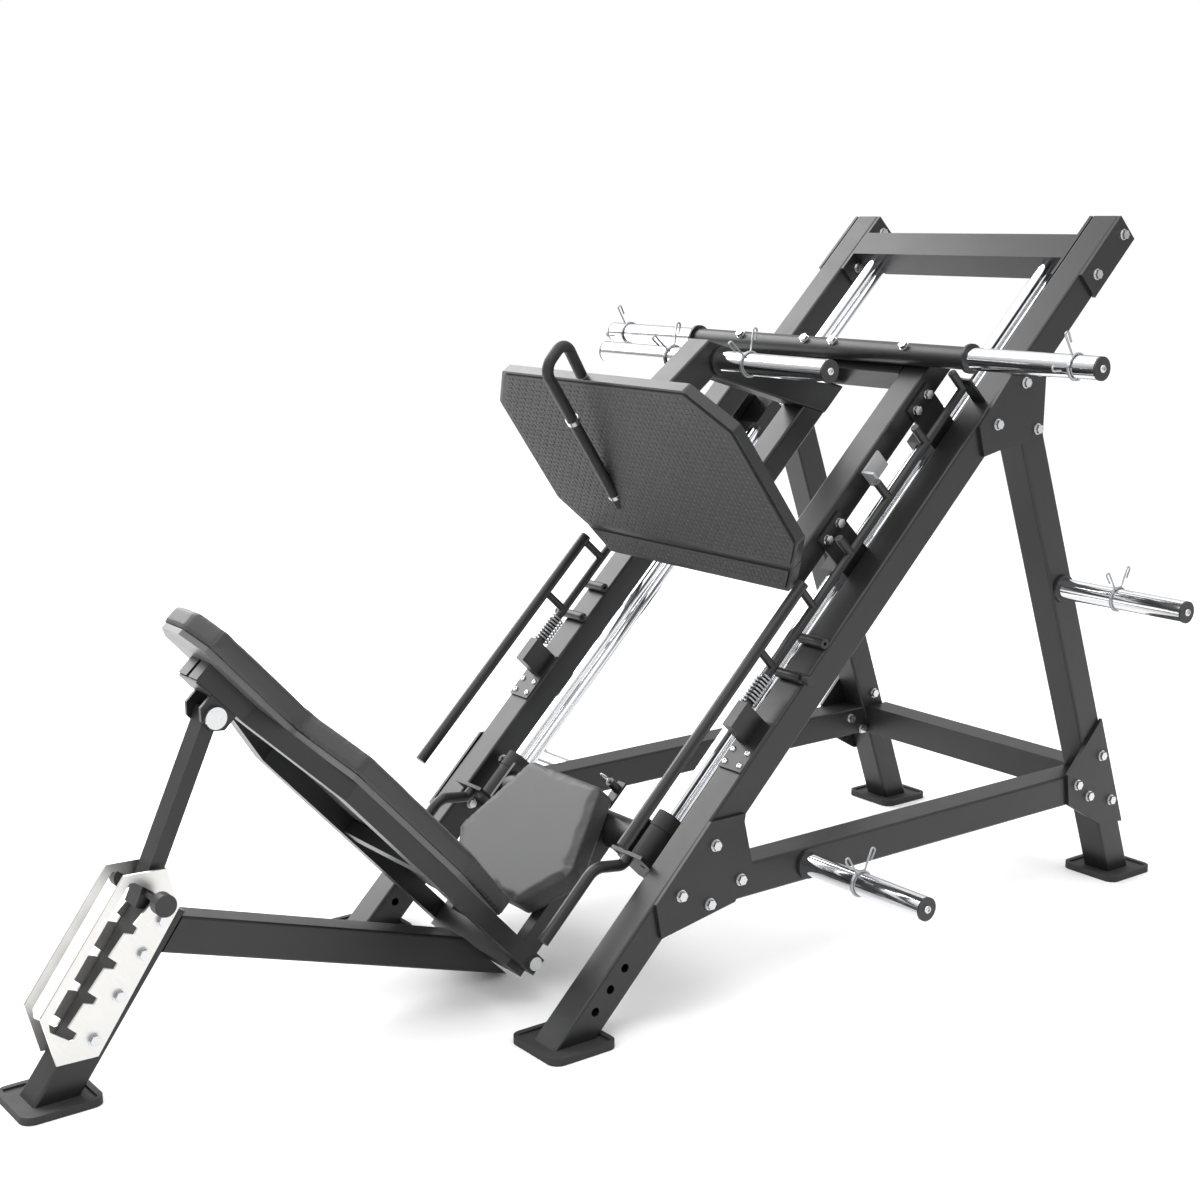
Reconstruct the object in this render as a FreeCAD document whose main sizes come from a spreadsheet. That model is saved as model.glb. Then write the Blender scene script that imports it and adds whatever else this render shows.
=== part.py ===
import FreeCAD, Part
import math
import os
import Sketcher
from types import SimpleNamespace
from FreeCAD import Placement, Rotation, Vector

# Plate-loaded hack squat machine. Millimetres, +Z up, +X towards the raised end of the rails,
# origin on the floor at the middle of the footprint.

SIZES = {
    # square tube
    "tube_width": 75,
    "tube_wall": 3,
    "tube_corner": 6,
    "plate_thick": 8,
    # inclined rails
    "rail_angle": 45,
    "rail_length": 2255,
    "rail_centre": 387.5,
    "base_height": 221,
    "leg_station": 1815.5,
    "leg_lean": 19.8,
    "crossbar_setback": 75,
    "end_plate_length": 188,
    "foot_side": 160,
    "foot_thick": 16,
    "foot_recess": 4,
    "foot_corner": 25,
    "foot_shift": 8,
    # front post, front beam and ladder
    "post_foot_reach": 863,
    "post_angle": 54,
    "post_length": 414,
    "beam_drop": 17.2,
    "ladder_thick": 6,
    "notch_pitch": 73,
    "strut_pin": 16,
    "strut_width": 50,
    "strut_depth": 30,
    # guide rods and the brackets at their lower ends
    "rod_diameter": 28,
    "rod_centre": 282,
    "rod_upper": -28,
    "rod_pitch": 32.5,
    "bracket_station": 444,
    "bumper_length": 85,
    "bumper_collar": 37,
    "bumper_radius": 26,
    "cross_tube_diameter": 76,
    "cross_tube_station": 493,
    # seat and hand grips
    "seat_tube_height": 50,
    "seat_tube_width": 30,
    "seat_tube_centre": 135,
    "seat_top": 55,
    "seat_thick": 55,
    "grip_diameter": 25,
    "grip_centre": 296,
    # backrest
    "pivot_station": 155,
    "pad_angle": 47,
    "pad_length": 961,
    "pad_thick": 45,
    "board_thick": 12,
    "carrier_depth": 40,
    "carrier_width": 35,
    # sled
    "sled_gap": 70,
    "sled_tube_height": 60,
    "side_tube_centre": 289.5,
    "plate_depth": 24,
    "tread_thick": 4,
    "foot_plate_lean": 35.4,
    "lip_length": 70,
    "lip_bend": 8,
    "housing_length": 85,
    "housing_plate": 6,
    "running_gap": 0.05,
    # weight sleeves
    "sleeve_diameter": 50,
    "sleeve_length": 343,
    "storage_length": 343,
    "band_horn_length": 342,
    "cap_thick": 5,
    "seat_groove": 0.5,
    "seat_width": 11,
    "flange_diameter": 66,
    "flange_thick": 7,
    # safety levers
    "lever_diameter": 20,
    "lever_centre": 377,
    "lever_height": 54,
    "peg_height": 52,
    "handle_diameter": 26,
    "handle_rise": 70,
    "handle_offset": 8,
    # fasteners
    "bolt_diameter": 12,
    "bolt_play": 0.5,
    "hex_size": 19,
    "hex_height": 8,
    "washer_diameter": 26,
    "washer_thick": 2.5,
    "pull_pin": 8,
    "pivot_bolt": 16,
}

doc = FreeCAD.newDocument("HackSquat")
sheet = doc.addObject("Spreadsheet::Sheet", "Sizes")
for row, (alias, number) in enumerate(SIZES.items(), start=1):
    sheet.set(f"A{row}", alias)
    sheet.set(f"B{row}", str(number))
    sheet.setAlias(f"B{row}", alias)
doc.recompute()
v = SimpleNamespace(**{alias: float(sheet.get(alias)) for alias in SIZES})

HALF = v.tube_width / 2
X_AXIS = Vector(1, 0, 0)
Y_AXIS = Vector(0, 1, 0)
Z_AXIS = Vector(0, 0, 1)
SIDES = {"left": 1, "right": -1}
NODES = []


# ---------------------------------------------------------------- plane geometry (X, Z pairs)

def direction(degrees):
    """Unit vector in the side view, measured from +X towards +Z."""
    angle = math.radians(degrees)
    return (math.cos(angle), math.sin(angle))


def move(point, along, distance):
    return (point[0] + along[0] * distance, point[1] + along[1] * distance)


def turned(along):
    """The direction a quarter turn anticlockwise."""
    return (-along[1], along[0])


def meet(point, along, other, across):
    """Where two lines of the side view cross."""
    det = along[0] * across[1] - along[1] * across[0]
    step = ((other[0] - point[0]) * across[1] - (other[1] - point[1]) * across[0]) / det
    return move(point, along, step)


def clip(outline, point, outward):
    """The part of a convex outline that lies behind the line through point facing outward."""
    def height(p):
        return (p[0] - point[0]) * outward[0] + (p[1] - point[1]) * outward[1]

    kept = []
    for here, there in zip(outline, outline[1:] + outline[:1]):
        a, b = height(here), height(there)
        if a <= 0:
            kept.append(here)
        if a * b < 0:
            share = a / (a - b)
            kept.append((here[0] + (there[0] - here[0]) * share, here[1] + (there[1] - here[1]) * share))
    return kept


def inset(outline, distance):
    """The outline with every edge moved inwards; the outline runs anticlockwise."""
    lines = []
    for here, there in zip(outline, outline[1:] + outline[:1]):
        length = math.dist(here, there)
        along = ((there[0] - here[0]) / length, (there[1] - here[1]) / length)
        lines.append((move(here, turned(along), distance), along))
    return [meet(*lines[i - 1], *lines[i]) for i in range(len(lines))]


def strip(start, end, width, before=0.0, after=0.0):
    """A straight bar's side view, drawn past both ends so that it can be clipped."""
    length = math.dist(start, end)
    along = ((end[0] - start[0]) / length, (end[1] - start[1]) / length)
    first = move(start, along, -before)
    last = move(end, along, after)
    side = turned(along)
    return [move(first, side, -width / 2), move(last, side, -width / 2),
            move(last, side, width / 2), move(first, side, width / 2)]


# ---------------------------------------------------------------- frames of reference

UP_RAIL = direction(v.rail_angle)
OFF_RAIL = turned(UP_RAIL)
LEG_DOWN = direction(v.leg_lean - 90)
POST_UP = direction(v.post_angle)

# First with the rail's top face meeting the floor at X = 0, to find the footprint. The front
# feet stand foot_shift further back than the toes of their tubes.
leg_head = move(move((0, 0), UP_RAIL, v.leg_station), OFF_RAIL, -v.tube_width)
leg_toe = meet(leg_head, LEG_DOWN, (0, 0), (1, 0))
RAIL_X = (v.post_foot_reach - v.foot_shift - leg_toe[0]) / 2
RAIL_FOOT = (RAIL_X, 0.0)


def rail_xz(station, height):
    """Side-view point at a distance up the rails and a height off their top faces."""
    return move(move(RAIL_FOOT, UP_RAIL, station), OFF_RAIL, height)


def at(point, y):
    return Vector(point[0], y, point[1])


def on_rail(station, y, height):
    return at(rail_xz(station, height), y)


def frame_rotation(along, side):
    """Rotation that takes local X to along, local Y to side and local Z to their product."""
    return Rotation(along, side, along.cross(side), "XYZ")


U = Vector(UP_RAIL[0], 0, UP_RAIL[1])
N = Vector(OFF_RAIL[0], 0, OFF_RAIL[1])
RAIL_ROTATION = frame_rotation(U, Y_AXIS)


# ---------------------------------------------------------------- builders

def bind(feature, prop, size):
    """Set a size from the sheet when it is an expression, or as a worked-out number."""
    if isinstance(size, str):
        feature.setExpression(prop, size)
    else:
        setattr(feature, prop, size)


def node(feature, label):
    """Mark a finished object as a piece of the machine."""
    feature.Label = label
    NODES.append(feature)
    return feature


def base_plane(body, role):
    return next(f for f in body.Origin.OriginFeatures if f.Role == role)


def add_sketch(body, plane, outline, circles=()):
    """A fully held sketch: a closed outline of straight edges and round holes."""
    sketch = body.newObject("Sketcher::SketchObject", "Sketch")
    sketch.AttachmentSupport = (base_plane(body, plane), [""])
    sketch.MapMode = "FlatFace"
    count = len(outline)
    for i, here in enumerate(outline):
        there = outline[(i + 1) % count]
        sketch.addGeometry(Part.LineSegment(Vector(*here, 0), Vector(*there, 0)), False)
    for i in range(count):
        sketch.addConstraint(Sketcher.Constraint("Coincident", i, 2, (i + 1) % count, 1))
    for i, here in enumerate(outline):
        sketch.addConstraint(Sketcher.Constraint("DistanceX", -1, 1, i, 1, here[0]))
        sketch.addConstraint(Sketcher.Constraint("DistanceY", -1, 1, i, 1, here[1]))
    for centre, diameter in circles:
        ring = sketch.addGeometry(Part.Circle(Vector(*centre, 0), Z_AXIS, 5), False)
        sketch.addConstraint(Sketcher.Constraint("DistanceX", -1, 1, ring, 3, centre[0]))
        sketch.addConstraint(Sketcher.Constraint("DistanceY", -1, 1, ring, 3, centre[1]))
        held = sketch.addConstraint(Sketcher.Constraint("Diameter", ring, 10))
        sketch.setExpression(f"Constraints[{held}]", diameter)
    return sketch


def pad(body, sketch, length, side="Symmetric"):
    feature = body.newObject("PartDesign::Pad", "Pad")
    feature.Profile = sketch
    feature.SideType = side
    bind(feature, "Length", length)
    return feature


def pocket(body, sketch, length=None):
    """A cut to both sides of its sketch, right through when it has no length."""
    feature = body.newObject("PartDesign::Pocket", "Pocket")
    feature.Profile = sketch
    feature.SideType = "Symmetric"
    if length is None:
        feature.Type = "ThroughAll"
    else:
        bind(feature, "Length", length)
    return feature


def round_edges(body, feature, radius, wanted):
    """Fillet the edges of a feature that the test wanted(first, last) picks."""
    doc.recompute()
    names = []
    for i, edge in enumerate(feature.Shape.Edges, start=1):
        ends = [vertex.Point for vertex in edge.Vertexes]
        if len(ends) == 2 and wanted(*ends):
            names.append(f"Edge{i}")
    fillet = body.newObject("PartDesign::Fillet", "Fillet")
    fillet.Base = (feature, names)
    bind(fillet, "Radius", radius)
    return fillet


def box_tube(label, outline, y, width="Sizes.tube_width", holes=(), along=None, corner=True):
    """Closed box section seen from the side: outline across, width along Y, hollow inside."""
    body = doc.addObject("PartDesign::Body", label)
    outer = pad(body, add_sketch(body, "XZ_Plane", outline), width)
    if corner:
        low, high = outer_edges(outline, along)
        round_edges(body, outer, "Sizes.tube_corner", lambda a, b: lies_on(a, b, low) or lies_on(a, b, high))
    hollow = add_sketch(body, "XZ_Plane", inset(outline, v.tube_wall))
    pocket(body, hollow, f"{width} - 2 * Sizes.tube_wall")
    if holes:
        pocket(body, add_sketch(body, "XZ_Plane", [], holes))
    body.Placement = Placement(Vector(0, y, 0), Rotation())
    return node(body, label)


def outer_edges(outline, along):
    """The two long edges of a bar's side view: those that run in the direction given."""
    edges = []
    for here, there in zip(outline, outline[1:] + outline[:1]):
        length = math.dist(here, there)
        cross = abs((there[0] - here[0]) * along[1] - (there[1] - here[1]) * along[0]) / length
        if cross < 1e-6:
            edges.append((here, there))
    return edges[0], edges[-1]


def lies_on(first, last, edge):
    """True when a 3-D edge lies over the given side-view edge."""
    spots = [(first.x, first.z), (last.x, last.z)]
    close = [min(math.dist(spot, end) for end in edge) < 1e-3 for spot in spots]
    return all(close) and abs(first.y - last.y) < 1e-3


def side_plate(label, outline, y, thickness, holes=(), placement=None, corner=None):
    """Flat plate whose outline lies in the side view."""
    body = doc.addObject("PartDesign::Body", label)
    flat = pad(body, add_sketch(body, "XZ_Plane", outline, holes), thickness)
    if corner:
        round_edges(body, flat, corner, lambda a, b: abs(a.y - b.y) > 1e-3 and abs(a.x - b.x) < 1e-6)
    body.Placement = placement or Placement(Vector(0, y, 0), Rotation())
    return body


def profile_bar(label, outline, hollow, length, placement):
    """Bar along local Y with an outer and an inner outline."""
    body = doc.addObject("PartDesign::Body", label)
    pad(body, add_sketch(body, "XZ_Plane", outline), length)
    if hollow:
        pocket(body, add_sketch(body, "XZ_Plane", hollow))
    body.Placement = placement
    return body


def square(width, depth):
    return [(-width / 2, -depth / 2), (width / 2, -depth / 2), (width / 2, depth / 2), (-width / 2, depth / 2)]


def box(length, width, height, placement):
    """Box centred on its placement."""
    solid = doc.addObject("Part::Box", "Box")
    bind(solid, "Length", length)
    bind(solid, "Width", width)
    bind(solid, "Height", height)
    doc.recompute()
    shift = Vector(-solid.Length.Value / 2, -solid.Width.Value / 2, -solid.Height.Value / 2)
    solid.Placement = placement.multiply(Placement(shift, Rotation()))
    return solid


def cylinder(radius, height, start, axis):
    solid = doc.addObject("Part::Cylinder", "Cylinder")
    bind(solid, "Radius", radius)
    bind(solid, "Height", height)
    solid.Placement = Placement(start, Rotation(Z_AXIS, axis))
    return solid


def torus(ring_radius, wire_radius, centre, axis):
    solid = doc.addObject("Part::Torus", "Torus")
    bind(solid, "Radius1", ring_radius)
    bind(solid, "Radius2", wire_radius)
    solid.Placement = Placement(centre, Rotation(Z_AXIS, axis))
    return solid


def fuse(pieces, label="Fusion"):
    joined = doc.addObject("Part::MultiFuse", label)
    joined.Shapes = pieces
    return joined


def cut(base, tool, label="Cut"):
    result = doc.addObject("Part::Cut", label)
    result.Base = base
    result.Tool = tool
    return result


def group(pieces, label):
    """One piece made of separate solids."""
    compound = doc.addObject("Part::Compound", label)
    compound.Links = pieces
    return node(compound, label)


def ring_bar(outer, inner, length, start, axis, label="Ring"):
    """Round tube; the bore runs past both ends of the wall."""
    wall = cylinder(outer, length, start, axis)
    bore = cylinder(inner, length, start, axis)
    return cut(wall, bore, label)


def copy_of(prototype, placement):
    link = doc.addObject("App::Link", "Copy")
    link.LinkedObject = prototype
    link.LinkTransform = False
    link.Placement = placement
    return link


def bent_wire(points, radii):
    """Straight runs joined by tangent arcs, one radius for each inner point."""
    edges = []
    start = points[0]
    for before, corner, after, radius in zip(points, points[1:], points[2:], radii):
        back = (before - corner).normalize()
        ahead = (after - corner).normalize()
        half = back.getAngle(ahead) / 2
        reach = radius / math.tan(half)
        centre = corner + (back + ahead).normalize() * (radius / math.sin(half))
        enter = corner + back * reach
        leave = corner + ahead * reach
        middle = centre + (corner - centre).normalize() * radius
        edges.append(Part.LineSegment(start, enter).toShape())
        edges.append(Part.Arc(enter, middle, leave).toShape())
        start = leave
    edges.append(Part.LineSegment(start, points[-1]).toShape())
    return Part.Wire(edges)


def swept_bar(points, radii, diameter, label):
    """Round bar along a bent line."""
    path = doc.addObject("Part::Feature", "Path")
    path.Shape = bent_wire(points, radii)
    section = doc.addObject("Part::Circle", "Section")
    bind(section, "Radius", f"{diameter} / 2")
    section.Placement = Placement(points[0], Rotation(Z_AXIS, points[1] - points[0]))
    sweep = doc.addObject("Part::Sweep", label)
    sweep.Sections = [section]
    sweep.Spine = (path, [f"Edge{i + 1}" for i in range(len(path.Shape.Edges))])
    sweep.Solid = True
    return sweep


# ---------------------------------------------------------------- fasteners

def through_bolt(grip, label):
    """Hex bolt, washers and nut; the head's washer sits on Z = 0 and the shank runs down."""
    nut_top = -grip - v.washer_thick
    head = doc.addObject("Part::Prism", "Head")
    head.Polygon = 6
    bind(head, "Circumradius", "Sizes.hex_size / 2 / cos(30 deg)")
    bind(head, "Height", "Sizes.hex_height")
    head.Placement = Placement(Vector(0, 0, v.washer_thick), Rotation())
    nut = doc.addObject("Part::Prism", "Nut")
    nut.Polygon = 6
    bind(nut, "Circumradius", "Sizes.hex_size / 2 / cos(30 deg)")
    bind(nut, "Height", "Sizes.hex_height")
    nut.Placement = Placement(Vector(0, 0, nut_top - v.hex_height), Rotation())
    washer_top = cylinder("Sizes.washer_diameter / 2", "Sizes.washer_thick", Vector(0, 0, 0), Z_AXIS)
    washer_low = cylinder("Sizes.washer_diameter / 2", "Sizes.washer_thick", Vector(0, 0, nut_top), Z_AXIS)
    shank = cylinder("Sizes.bolt_diameter / 2", grip + v.washer_thick, Vector(0, 0, nut_top), Z_AXIS)
    return fuse([head, nut, washer_top, washer_low, shank], label)


def bolt_placement(point, outward):
    return Placement(point, Rotation(Z_AXIS, outward))


BOLT_HOLE = "Sizes.bolt_diameter + 2 * Sizes.bolt_play"


# ---------------------------------------------------------------- rails, legs and base

FLOOR_LEVEL = (0.0, v.foot_thick - v.foot_recess)
DOWN = (0.0, -1.0)
RAIL_MID = rail_xz(0, -HALF)
RAIL_LOW = rail_xz(0, -v.tube_width)
RAIL_END = 60 + v.rail_length
LEG_HEAD = rail_xz(v.leg_station, -v.tube_width)
LEG_OUT = turned(LEG_DOWN)
BASE_LOW = (0.0, v.base_height)
BASE_MID = (0.0, v.base_height + HALF)
BASE_TOP = (0.0, v.base_height + v.tube_width)
LEG_FRONT = move(LEG_HEAD, LEG_OUT, -HALF)

FRONT_ANCHOR = meet(RAIL_LOW, UP_RAIL, BASE_TOP, (1, 0))
REAR_ANCHOR = meet(LEG_FRONT, LEG_DOWN, BASE_TOP, (1, 0))
TOP_ANCHOR = LEG_HEAD

# Gusset outlines and their bolts, from the corner that each gusset ties together.
FRONT_GUSSET = [(4, 115), (-141, -33), (-126, -109), (72, -74), (122, -10), (96, 98), (99, 115)]
FRONT_BOLTS = [(15, 63), (86, -27), (-76, -27), (1, -62)]
REAR_GUSSET = [(35, 129), (-85, 5), (-75, -74), (44, -142), (137, -154)]
REAR_BOLTS = [(40, 34), (-48, -25), (-2, -62), (85, -88)]
TOP_GUSSET = [(-158, -55), (-139, -123), (-91, -113), (30, -98), (58, -90), (60, 46), (-61, 54)]
TOP_BOLTS = [(-11, 36), (-100, -53), (37, -72)]
END_PLATE_BOLTS = [38, 165]


def shifted(points, anchor):
    return [(p[0] + anchor[0], p[1] + anchor[1]) for p in points]


def inside(point, outline):
    """True when a point lies well inside a convex anticlockwise outline."""
    edges = zip(outline, outline[1:] + outline[:1])
    return all((b[0] - a[0]) * (point[1] - a[1]) - (b[1] - a[1]) * (point[0] - a[0]) > 0 for a, b in edges)


def holes_in(outline, points):
    return [(point, BOLT_HOLE) for point in points if inside(point, outline)]


end_plate_low = RAIL_END - v.end_plate_length
gusset_bolts = (shifted(FRONT_BOLTS, FRONT_ANCHOR) + shifted(REAR_BOLTS, REAR_ANCHOR)
                + shifted(TOP_BOLTS, TOP_ANCHOR))
end_bolts = [rail_xz(end_plate_low + offset, -HALF) for offset in END_PLATE_BOLTS]
side_bolts = gusset_bolts + end_bolts
front_stations = [128, 182, 234]

rail_outline = strip(RAIL_MID, rail_xz(RAIL_END, -HALF), v.tube_width, before=100)
rail_outline = clip(rail_outline, FLOOR_LEVEL, DOWN)
leg_outline = strip(LEG_HEAD, move(LEG_HEAD, LEG_DOWN, 2 * LEG_HEAD[1]), v.tube_width, before=200)
leg_outline = clip(clip(leg_outline, FLOOR_LEVEL, DOWN), RAIL_LOW, OFF_RAIL)
base_outline = strip((FRONT_ANCHOR[0], BASE_MID[1]), (REAR_ANCHOR[0], BASE_MID[1]), v.tube_width, 300, 300)
base_outline = clip(clip(base_outline, LEG_FRONT, LEG_OUT), RAIL_LOW, OFF_RAIL)

rail_holes = holes_in(rail_outline, side_bolts)
rail_holes += [(rail_xz(station, -31), "Sizes.bolt_diameter + 7") for station in front_stations]
for name, side in SIDES.items():
    y = side * v.rail_centre
    box_tube(f"rail_{name}", rail_outline, y, holes=rail_holes, along=UP_RAIL)
    box_tube(f"rear_leg_{name}", leg_outline, y, holes=holes_in(leg_outline, side_bolts), along=LEG_DOWN)
    box_tube(f"base_rail_{name}", base_outline, y, holes=holes_in(base_outline, side_bolts), along=(1, 0))

    outer = side * (v.rail_centre + HALF + v.plate_thick / 2)
    inner = side * (v.rail_centre - HALF - v.plate_thick / 2)
    plates = []
    for outline, bolts, anchor in ((FRONT_GUSSET, FRONT_BOLTS, FRONT_ANCHOR),
                                   (REAR_GUSSET, REAR_BOLTS, REAR_ANCHOR),
                                   (TOP_GUSSET, TOP_BOLTS, TOP_ANCHOR)):
        drilled = [(point, BOLT_HOLE) for point in shifted(bolts, anchor)]
        plates.append(side_plate("Gusset", shifted(outline, anchor), outer, "Sizes.plate_thick", drilled))
    end_outline = strip(rail_xz(end_plate_low, -HALF), rail_xz(RAIL_END, -HALF), v.tube_width)
    drilled = [(point, BOLT_HOLE) for point in end_bolts]
    for face in (outer, inner):
        plates.append(side_plate("EndPlate", end_outline, face, "Sizes.plate_thick", drilled))
    group(plates, f"gussets_{name}")

crossbar_station = v.rail_length - v.crossbar_setback
wall_square = square(v.tube_width, v.tube_width)
hollow_square = square(v.tube_width - 2 * v.tube_wall, v.tube_width - 2 * v.tube_wall)
top_bar_length = 2 * (v.rail_centre - HALF - v.plate_thick)
top_bar = profile_bar("top_crossbar", wall_square, hollow_square, top_bar_length,
                      Placement(on_rail(crossbar_station + HALF, 0, -HALF), RAIL_ROTATION))
node(top_bar, "top_crossbar")
leg_at_base = meet(LEG_HEAD, LEG_DOWN, BASE_MID, (1, 0))
rear_bar = profile_bar("rear_crossbar", wall_square, hollow_square, 2 * (v.rail_centre - HALF),
                       Placement(at(leg_at_base, 0), Rotation()))
node(rear_bar, "rear_crossbar")


# ---------------------------------------------------------------- front post, beam and ladder

POST_TOE = (RAIL_X - v.post_foot_reach, 0.0)
POST_HEAD = move(POST_TOE, POST_UP, v.post_length + 14)
POST_BACK = turned(POST_UP)
post_outline = strip(POST_TOE, POST_HEAD, v.tube_width, before=80)
post_outline = clip(post_outline, FLOOR_LEVEL, DOWN)

BEAM_ALONG = direction(-v.beam_drop)
beam_head = move(POST_HEAD, POST_UP, -62)
seat_low = v.pivot_station - 35
seat_mid = v.seat_top - v.seat_thick - v.seat_tube_height / 2
beam_outline = strip(beam_head, move(beam_head, BEAM_ALONG, 900), v.tube_width, before=0)
beam_outline = clip(beam_outline, move(POST_HEAD, POST_BACK, -HALF), POST_BACK)
beam_outline = clip(beam_outline, rail_xz(seat_low, 0), UP_RAIL)

# The ladder's frame: origin at the strut pin in the top notch, first axis down the ladder.
LADDER_DOWN = (-POST_UP[0], -POST_UP[1])
LADDER_OUT = turned(POST_UP)
PIN_SEAT = move(move(POST_HEAD, LADDER_DOWN, 2), LADDER_OUT, HALF + 10)


def ladder_xz(down, out):
    return move(move(PIN_SEAT, LADDER_DOWN, down), LADDER_OUT, out)


NOTCH_COUNT = 5
slot_half = v.strut_pin / 2 + 0.8
ladder_length = (NOTCH_COUNT - 1) * v.notch_pitch
TOOTH_TIP = 14
WINDOW_OUT = 55
FIRST_RAMP = (-7.5, 3)


def ladder_window():
    """The ladder's opening: open strip on the outer side, notches on the post's side."""
    points = [(-slot_half + 5, WINDOW_OUT), (-slot_half, WINDOW_OUT - 9), (-slot_half, -slot_half)]
    for i in range(NOTCH_COUNT):
        seat = i * v.notch_pitch
        points.append((seat + slot_half * 0.5, -slot_half))
        if i == NOTCH_COUNT - 1:
            points.append((seat + slot_half, -slot_half * 0.4))
            break
        rise = FIRST_RAMP if i == 0 else (TOOTH_TIP - 4, TOOTH_TIP)
        points.append((seat + slot_half + 1, rise[0]))
        points.append((seat + v.notch_pitch - slot_half - 3, rise[1]))
        points.append((seat + v.notch_pitch - slot_half, -slot_half))
    points.append((ladder_length + slot_half, WINDOW_OUT - 12))
    points.append((ladder_length - 6, WINDOW_OUT))
    return [ladder_xz(*point) for point in points]


LADDER_EDGE = [(-11, 73), (-59, 1), (-6, -64), (306, -72), (352, -5), (286, 74)]
LADDER_BOLTS = [(31, -46), (102, -46), (190, -46), (281, -46)]


def ladder_plate(label, y):
    body = doc.addObject("PartDesign::Body", label)
    edge = [ladder_xz(*point) for point in LADDER_EDGE]
    drilled = [(ladder_xz(*point), BOLT_HOLE) for point in LADDER_BOLTS]
    pad(body, add_sketch(body, "XZ_Plane", edge, drilled), "Sizes.ladder_thick")
    pocket(body, add_sketch(body, "XZ_Plane", ladder_window()))
    body.Placement = Placement(Vector(0, y, 0), Rotation())
    return node(body, label)


post_bolts = [ladder_xz(*point) for point in LADDER_BOLTS]
box_tube("front_post", post_outline, 0, holes=holes_in(post_outline, post_bolts), along=POST_UP)
box_tube("front_beam", beam_outline, 0, along=BEAM_ALONG)
for name, side in SIDES.items():
    ladder_plate(f"ladder_plate_{name}", side * (HALF + v.ladder_thick / 2))


# ---------------------------------------------------------------- feet

def foot(x, y):
    body = doc.addObject("PartDesign::Body", "Foot")
    half = v.foot_side / 2
    block = pad(body, add_sketch(body, "XY_Plane", square(v.foot_side, v.foot_side)), "Sizes.foot_thick", "One side")
    round_edges(body, block, "Sizes.foot_corner", lambda a, b: abs(a.z - b.z) > 1e-3)
    rim = half - v.foot_corner / 2
    dish = add_sketch(body, "XY_Plane", square(2 * rim, 2 * rim))
    dish.AttachmentOffset = Placement(Vector(0, 0, v.foot_thick), Rotation())
    pocket(body, dish, "2 * Sizes.foot_recess")
    body.Placement = Placement(Vector(x, y, 0), Rotation())
    return body


rail_toe = meet(RAIL_MID, UP_RAIL, (0, 0), (1, 0))
leg_toe = meet(LEG_HEAD, LEG_DOWN, (0, 0), (1, 0))
foot_spots = [(POST_TOE[0] + v.foot_shift, 0)]
foot_spots += [(x, side * v.rail_centre) for x in (rail_toe[0] + v.foot_shift, leg_toe[0]) for side in (1, -1)]
group([foot(x, y) for x, y in foot_spots], "feet")


# ---------------------------------------------------------------- guide rods and brackets

ROD_LEVELS = (v.rod_upper, v.rod_upper - v.rod_pitch)
rod_length = crossbar_station - v.bracket_station
rods = []
for side in SIDES.values():
    for level in ROD_LEVELS:
        start = on_rail(v.bracket_station, side * v.rod_centre, level)
        rods.append(cylinder("Sizes.rod_diameter / 2", "Sizes.rail_length - Sizes.crossbar_setback - Sizes.bracket_station", start, U))
group(rods, "guide_rods")

ROD_MID = (ROD_LEVELS[0] + ROD_LEVELS[1]) / 2


def bumper(side, start, radius, length):
    """Rubber block of rounded section on a pair of rods."""
    y = side * v.rod_centre
    middle = box(length, 2 * radius, "Sizes.rod_pitch",
                 Placement(on_rail(start + length / 2, y, ROD_MID), RAIL_ROTATION))
    ends = [cylinder(radius, length, on_rail(start, y, level), U) for level in ROD_LEVELS]
    bores = [cylinder("Sizes.rod_diameter / 2 + 4 * Sizes.running_gap", length + 2,
                      on_rail(start - 1, y, level), U) for level in ROD_LEVELS]
    return cut(fuse([middle] + ends), fuse(bores))


bumpers = []
for side in SIDES.values():
    start = v.bracket_station
    bumpers.append(bumper(side, start, v.bumper_radius, v.bumper_length))
    bumpers.append(bumper(side, start + v.bumper_length, v.bumper_radius + 2, v.bumper_collar))
group(bumpers, "rod_bumpers")

bracket_inner = v.rod_centre - v.bumper_radius - 6
bracket_outer = v.rail_centre - HALF
bracket_bolts = [(bracket_outer - 28, -8), (bracket_inner + 14, 20)]
for name, side in SIDES.items():
    width = bracket_outer - bracket_inner
    centre = side * (bracket_inner + width / 2)
    sheet_thick = v.plate_thick
    end = box("Sizes.plate_thick", width, 122,
              Placement(on_rail(v.bracket_station - sheet_thick / 2, centre, -28), RAIL_ROTATION))
    flange = box(96, "Sizes.plate_thick", 84, Placement(
        on_rail(v.bracket_station + 48, side * (bracket_inner - sheet_thick / 2), -42), RAIL_ROTATION))
    lip = box("Sizes.plate_thick", "Sizes.plate_thick", 84, Placement(
        on_rail(v.bracket_station - sheet_thick / 2, side * (bracket_inner - sheet_thick / 2), -42), RAIL_ROTATION))
    holes = [cylinder("Sizes.bolt_diameter / 2 + Sizes.bolt_play", 40,
                      on_rail(v.bracket_station - 20, side * y, level), U) for y, level in bracket_bolts]
    node(cut(fuse([end, flange, lip]), fuse(holes), f"rod_bracket_{name}"), f"rod_bracket_{name}")

cross_half = bracket_inner - v.plate_thick
cross_start = on_rail(v.cross_tube_station, -cross_half, -v.cross_tube_diameter / 2)
node(ring_bar("Sizes.cross_tube_diameter / 2", "Sizes.cross_tube_diameter / 2 - Sizes.tube_wall",
              2 * cross_half, cross_start, Y_AXIS), "cross_tube")


# ---------------------------------------------------------------- seat frame, seat and hand grips

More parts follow.
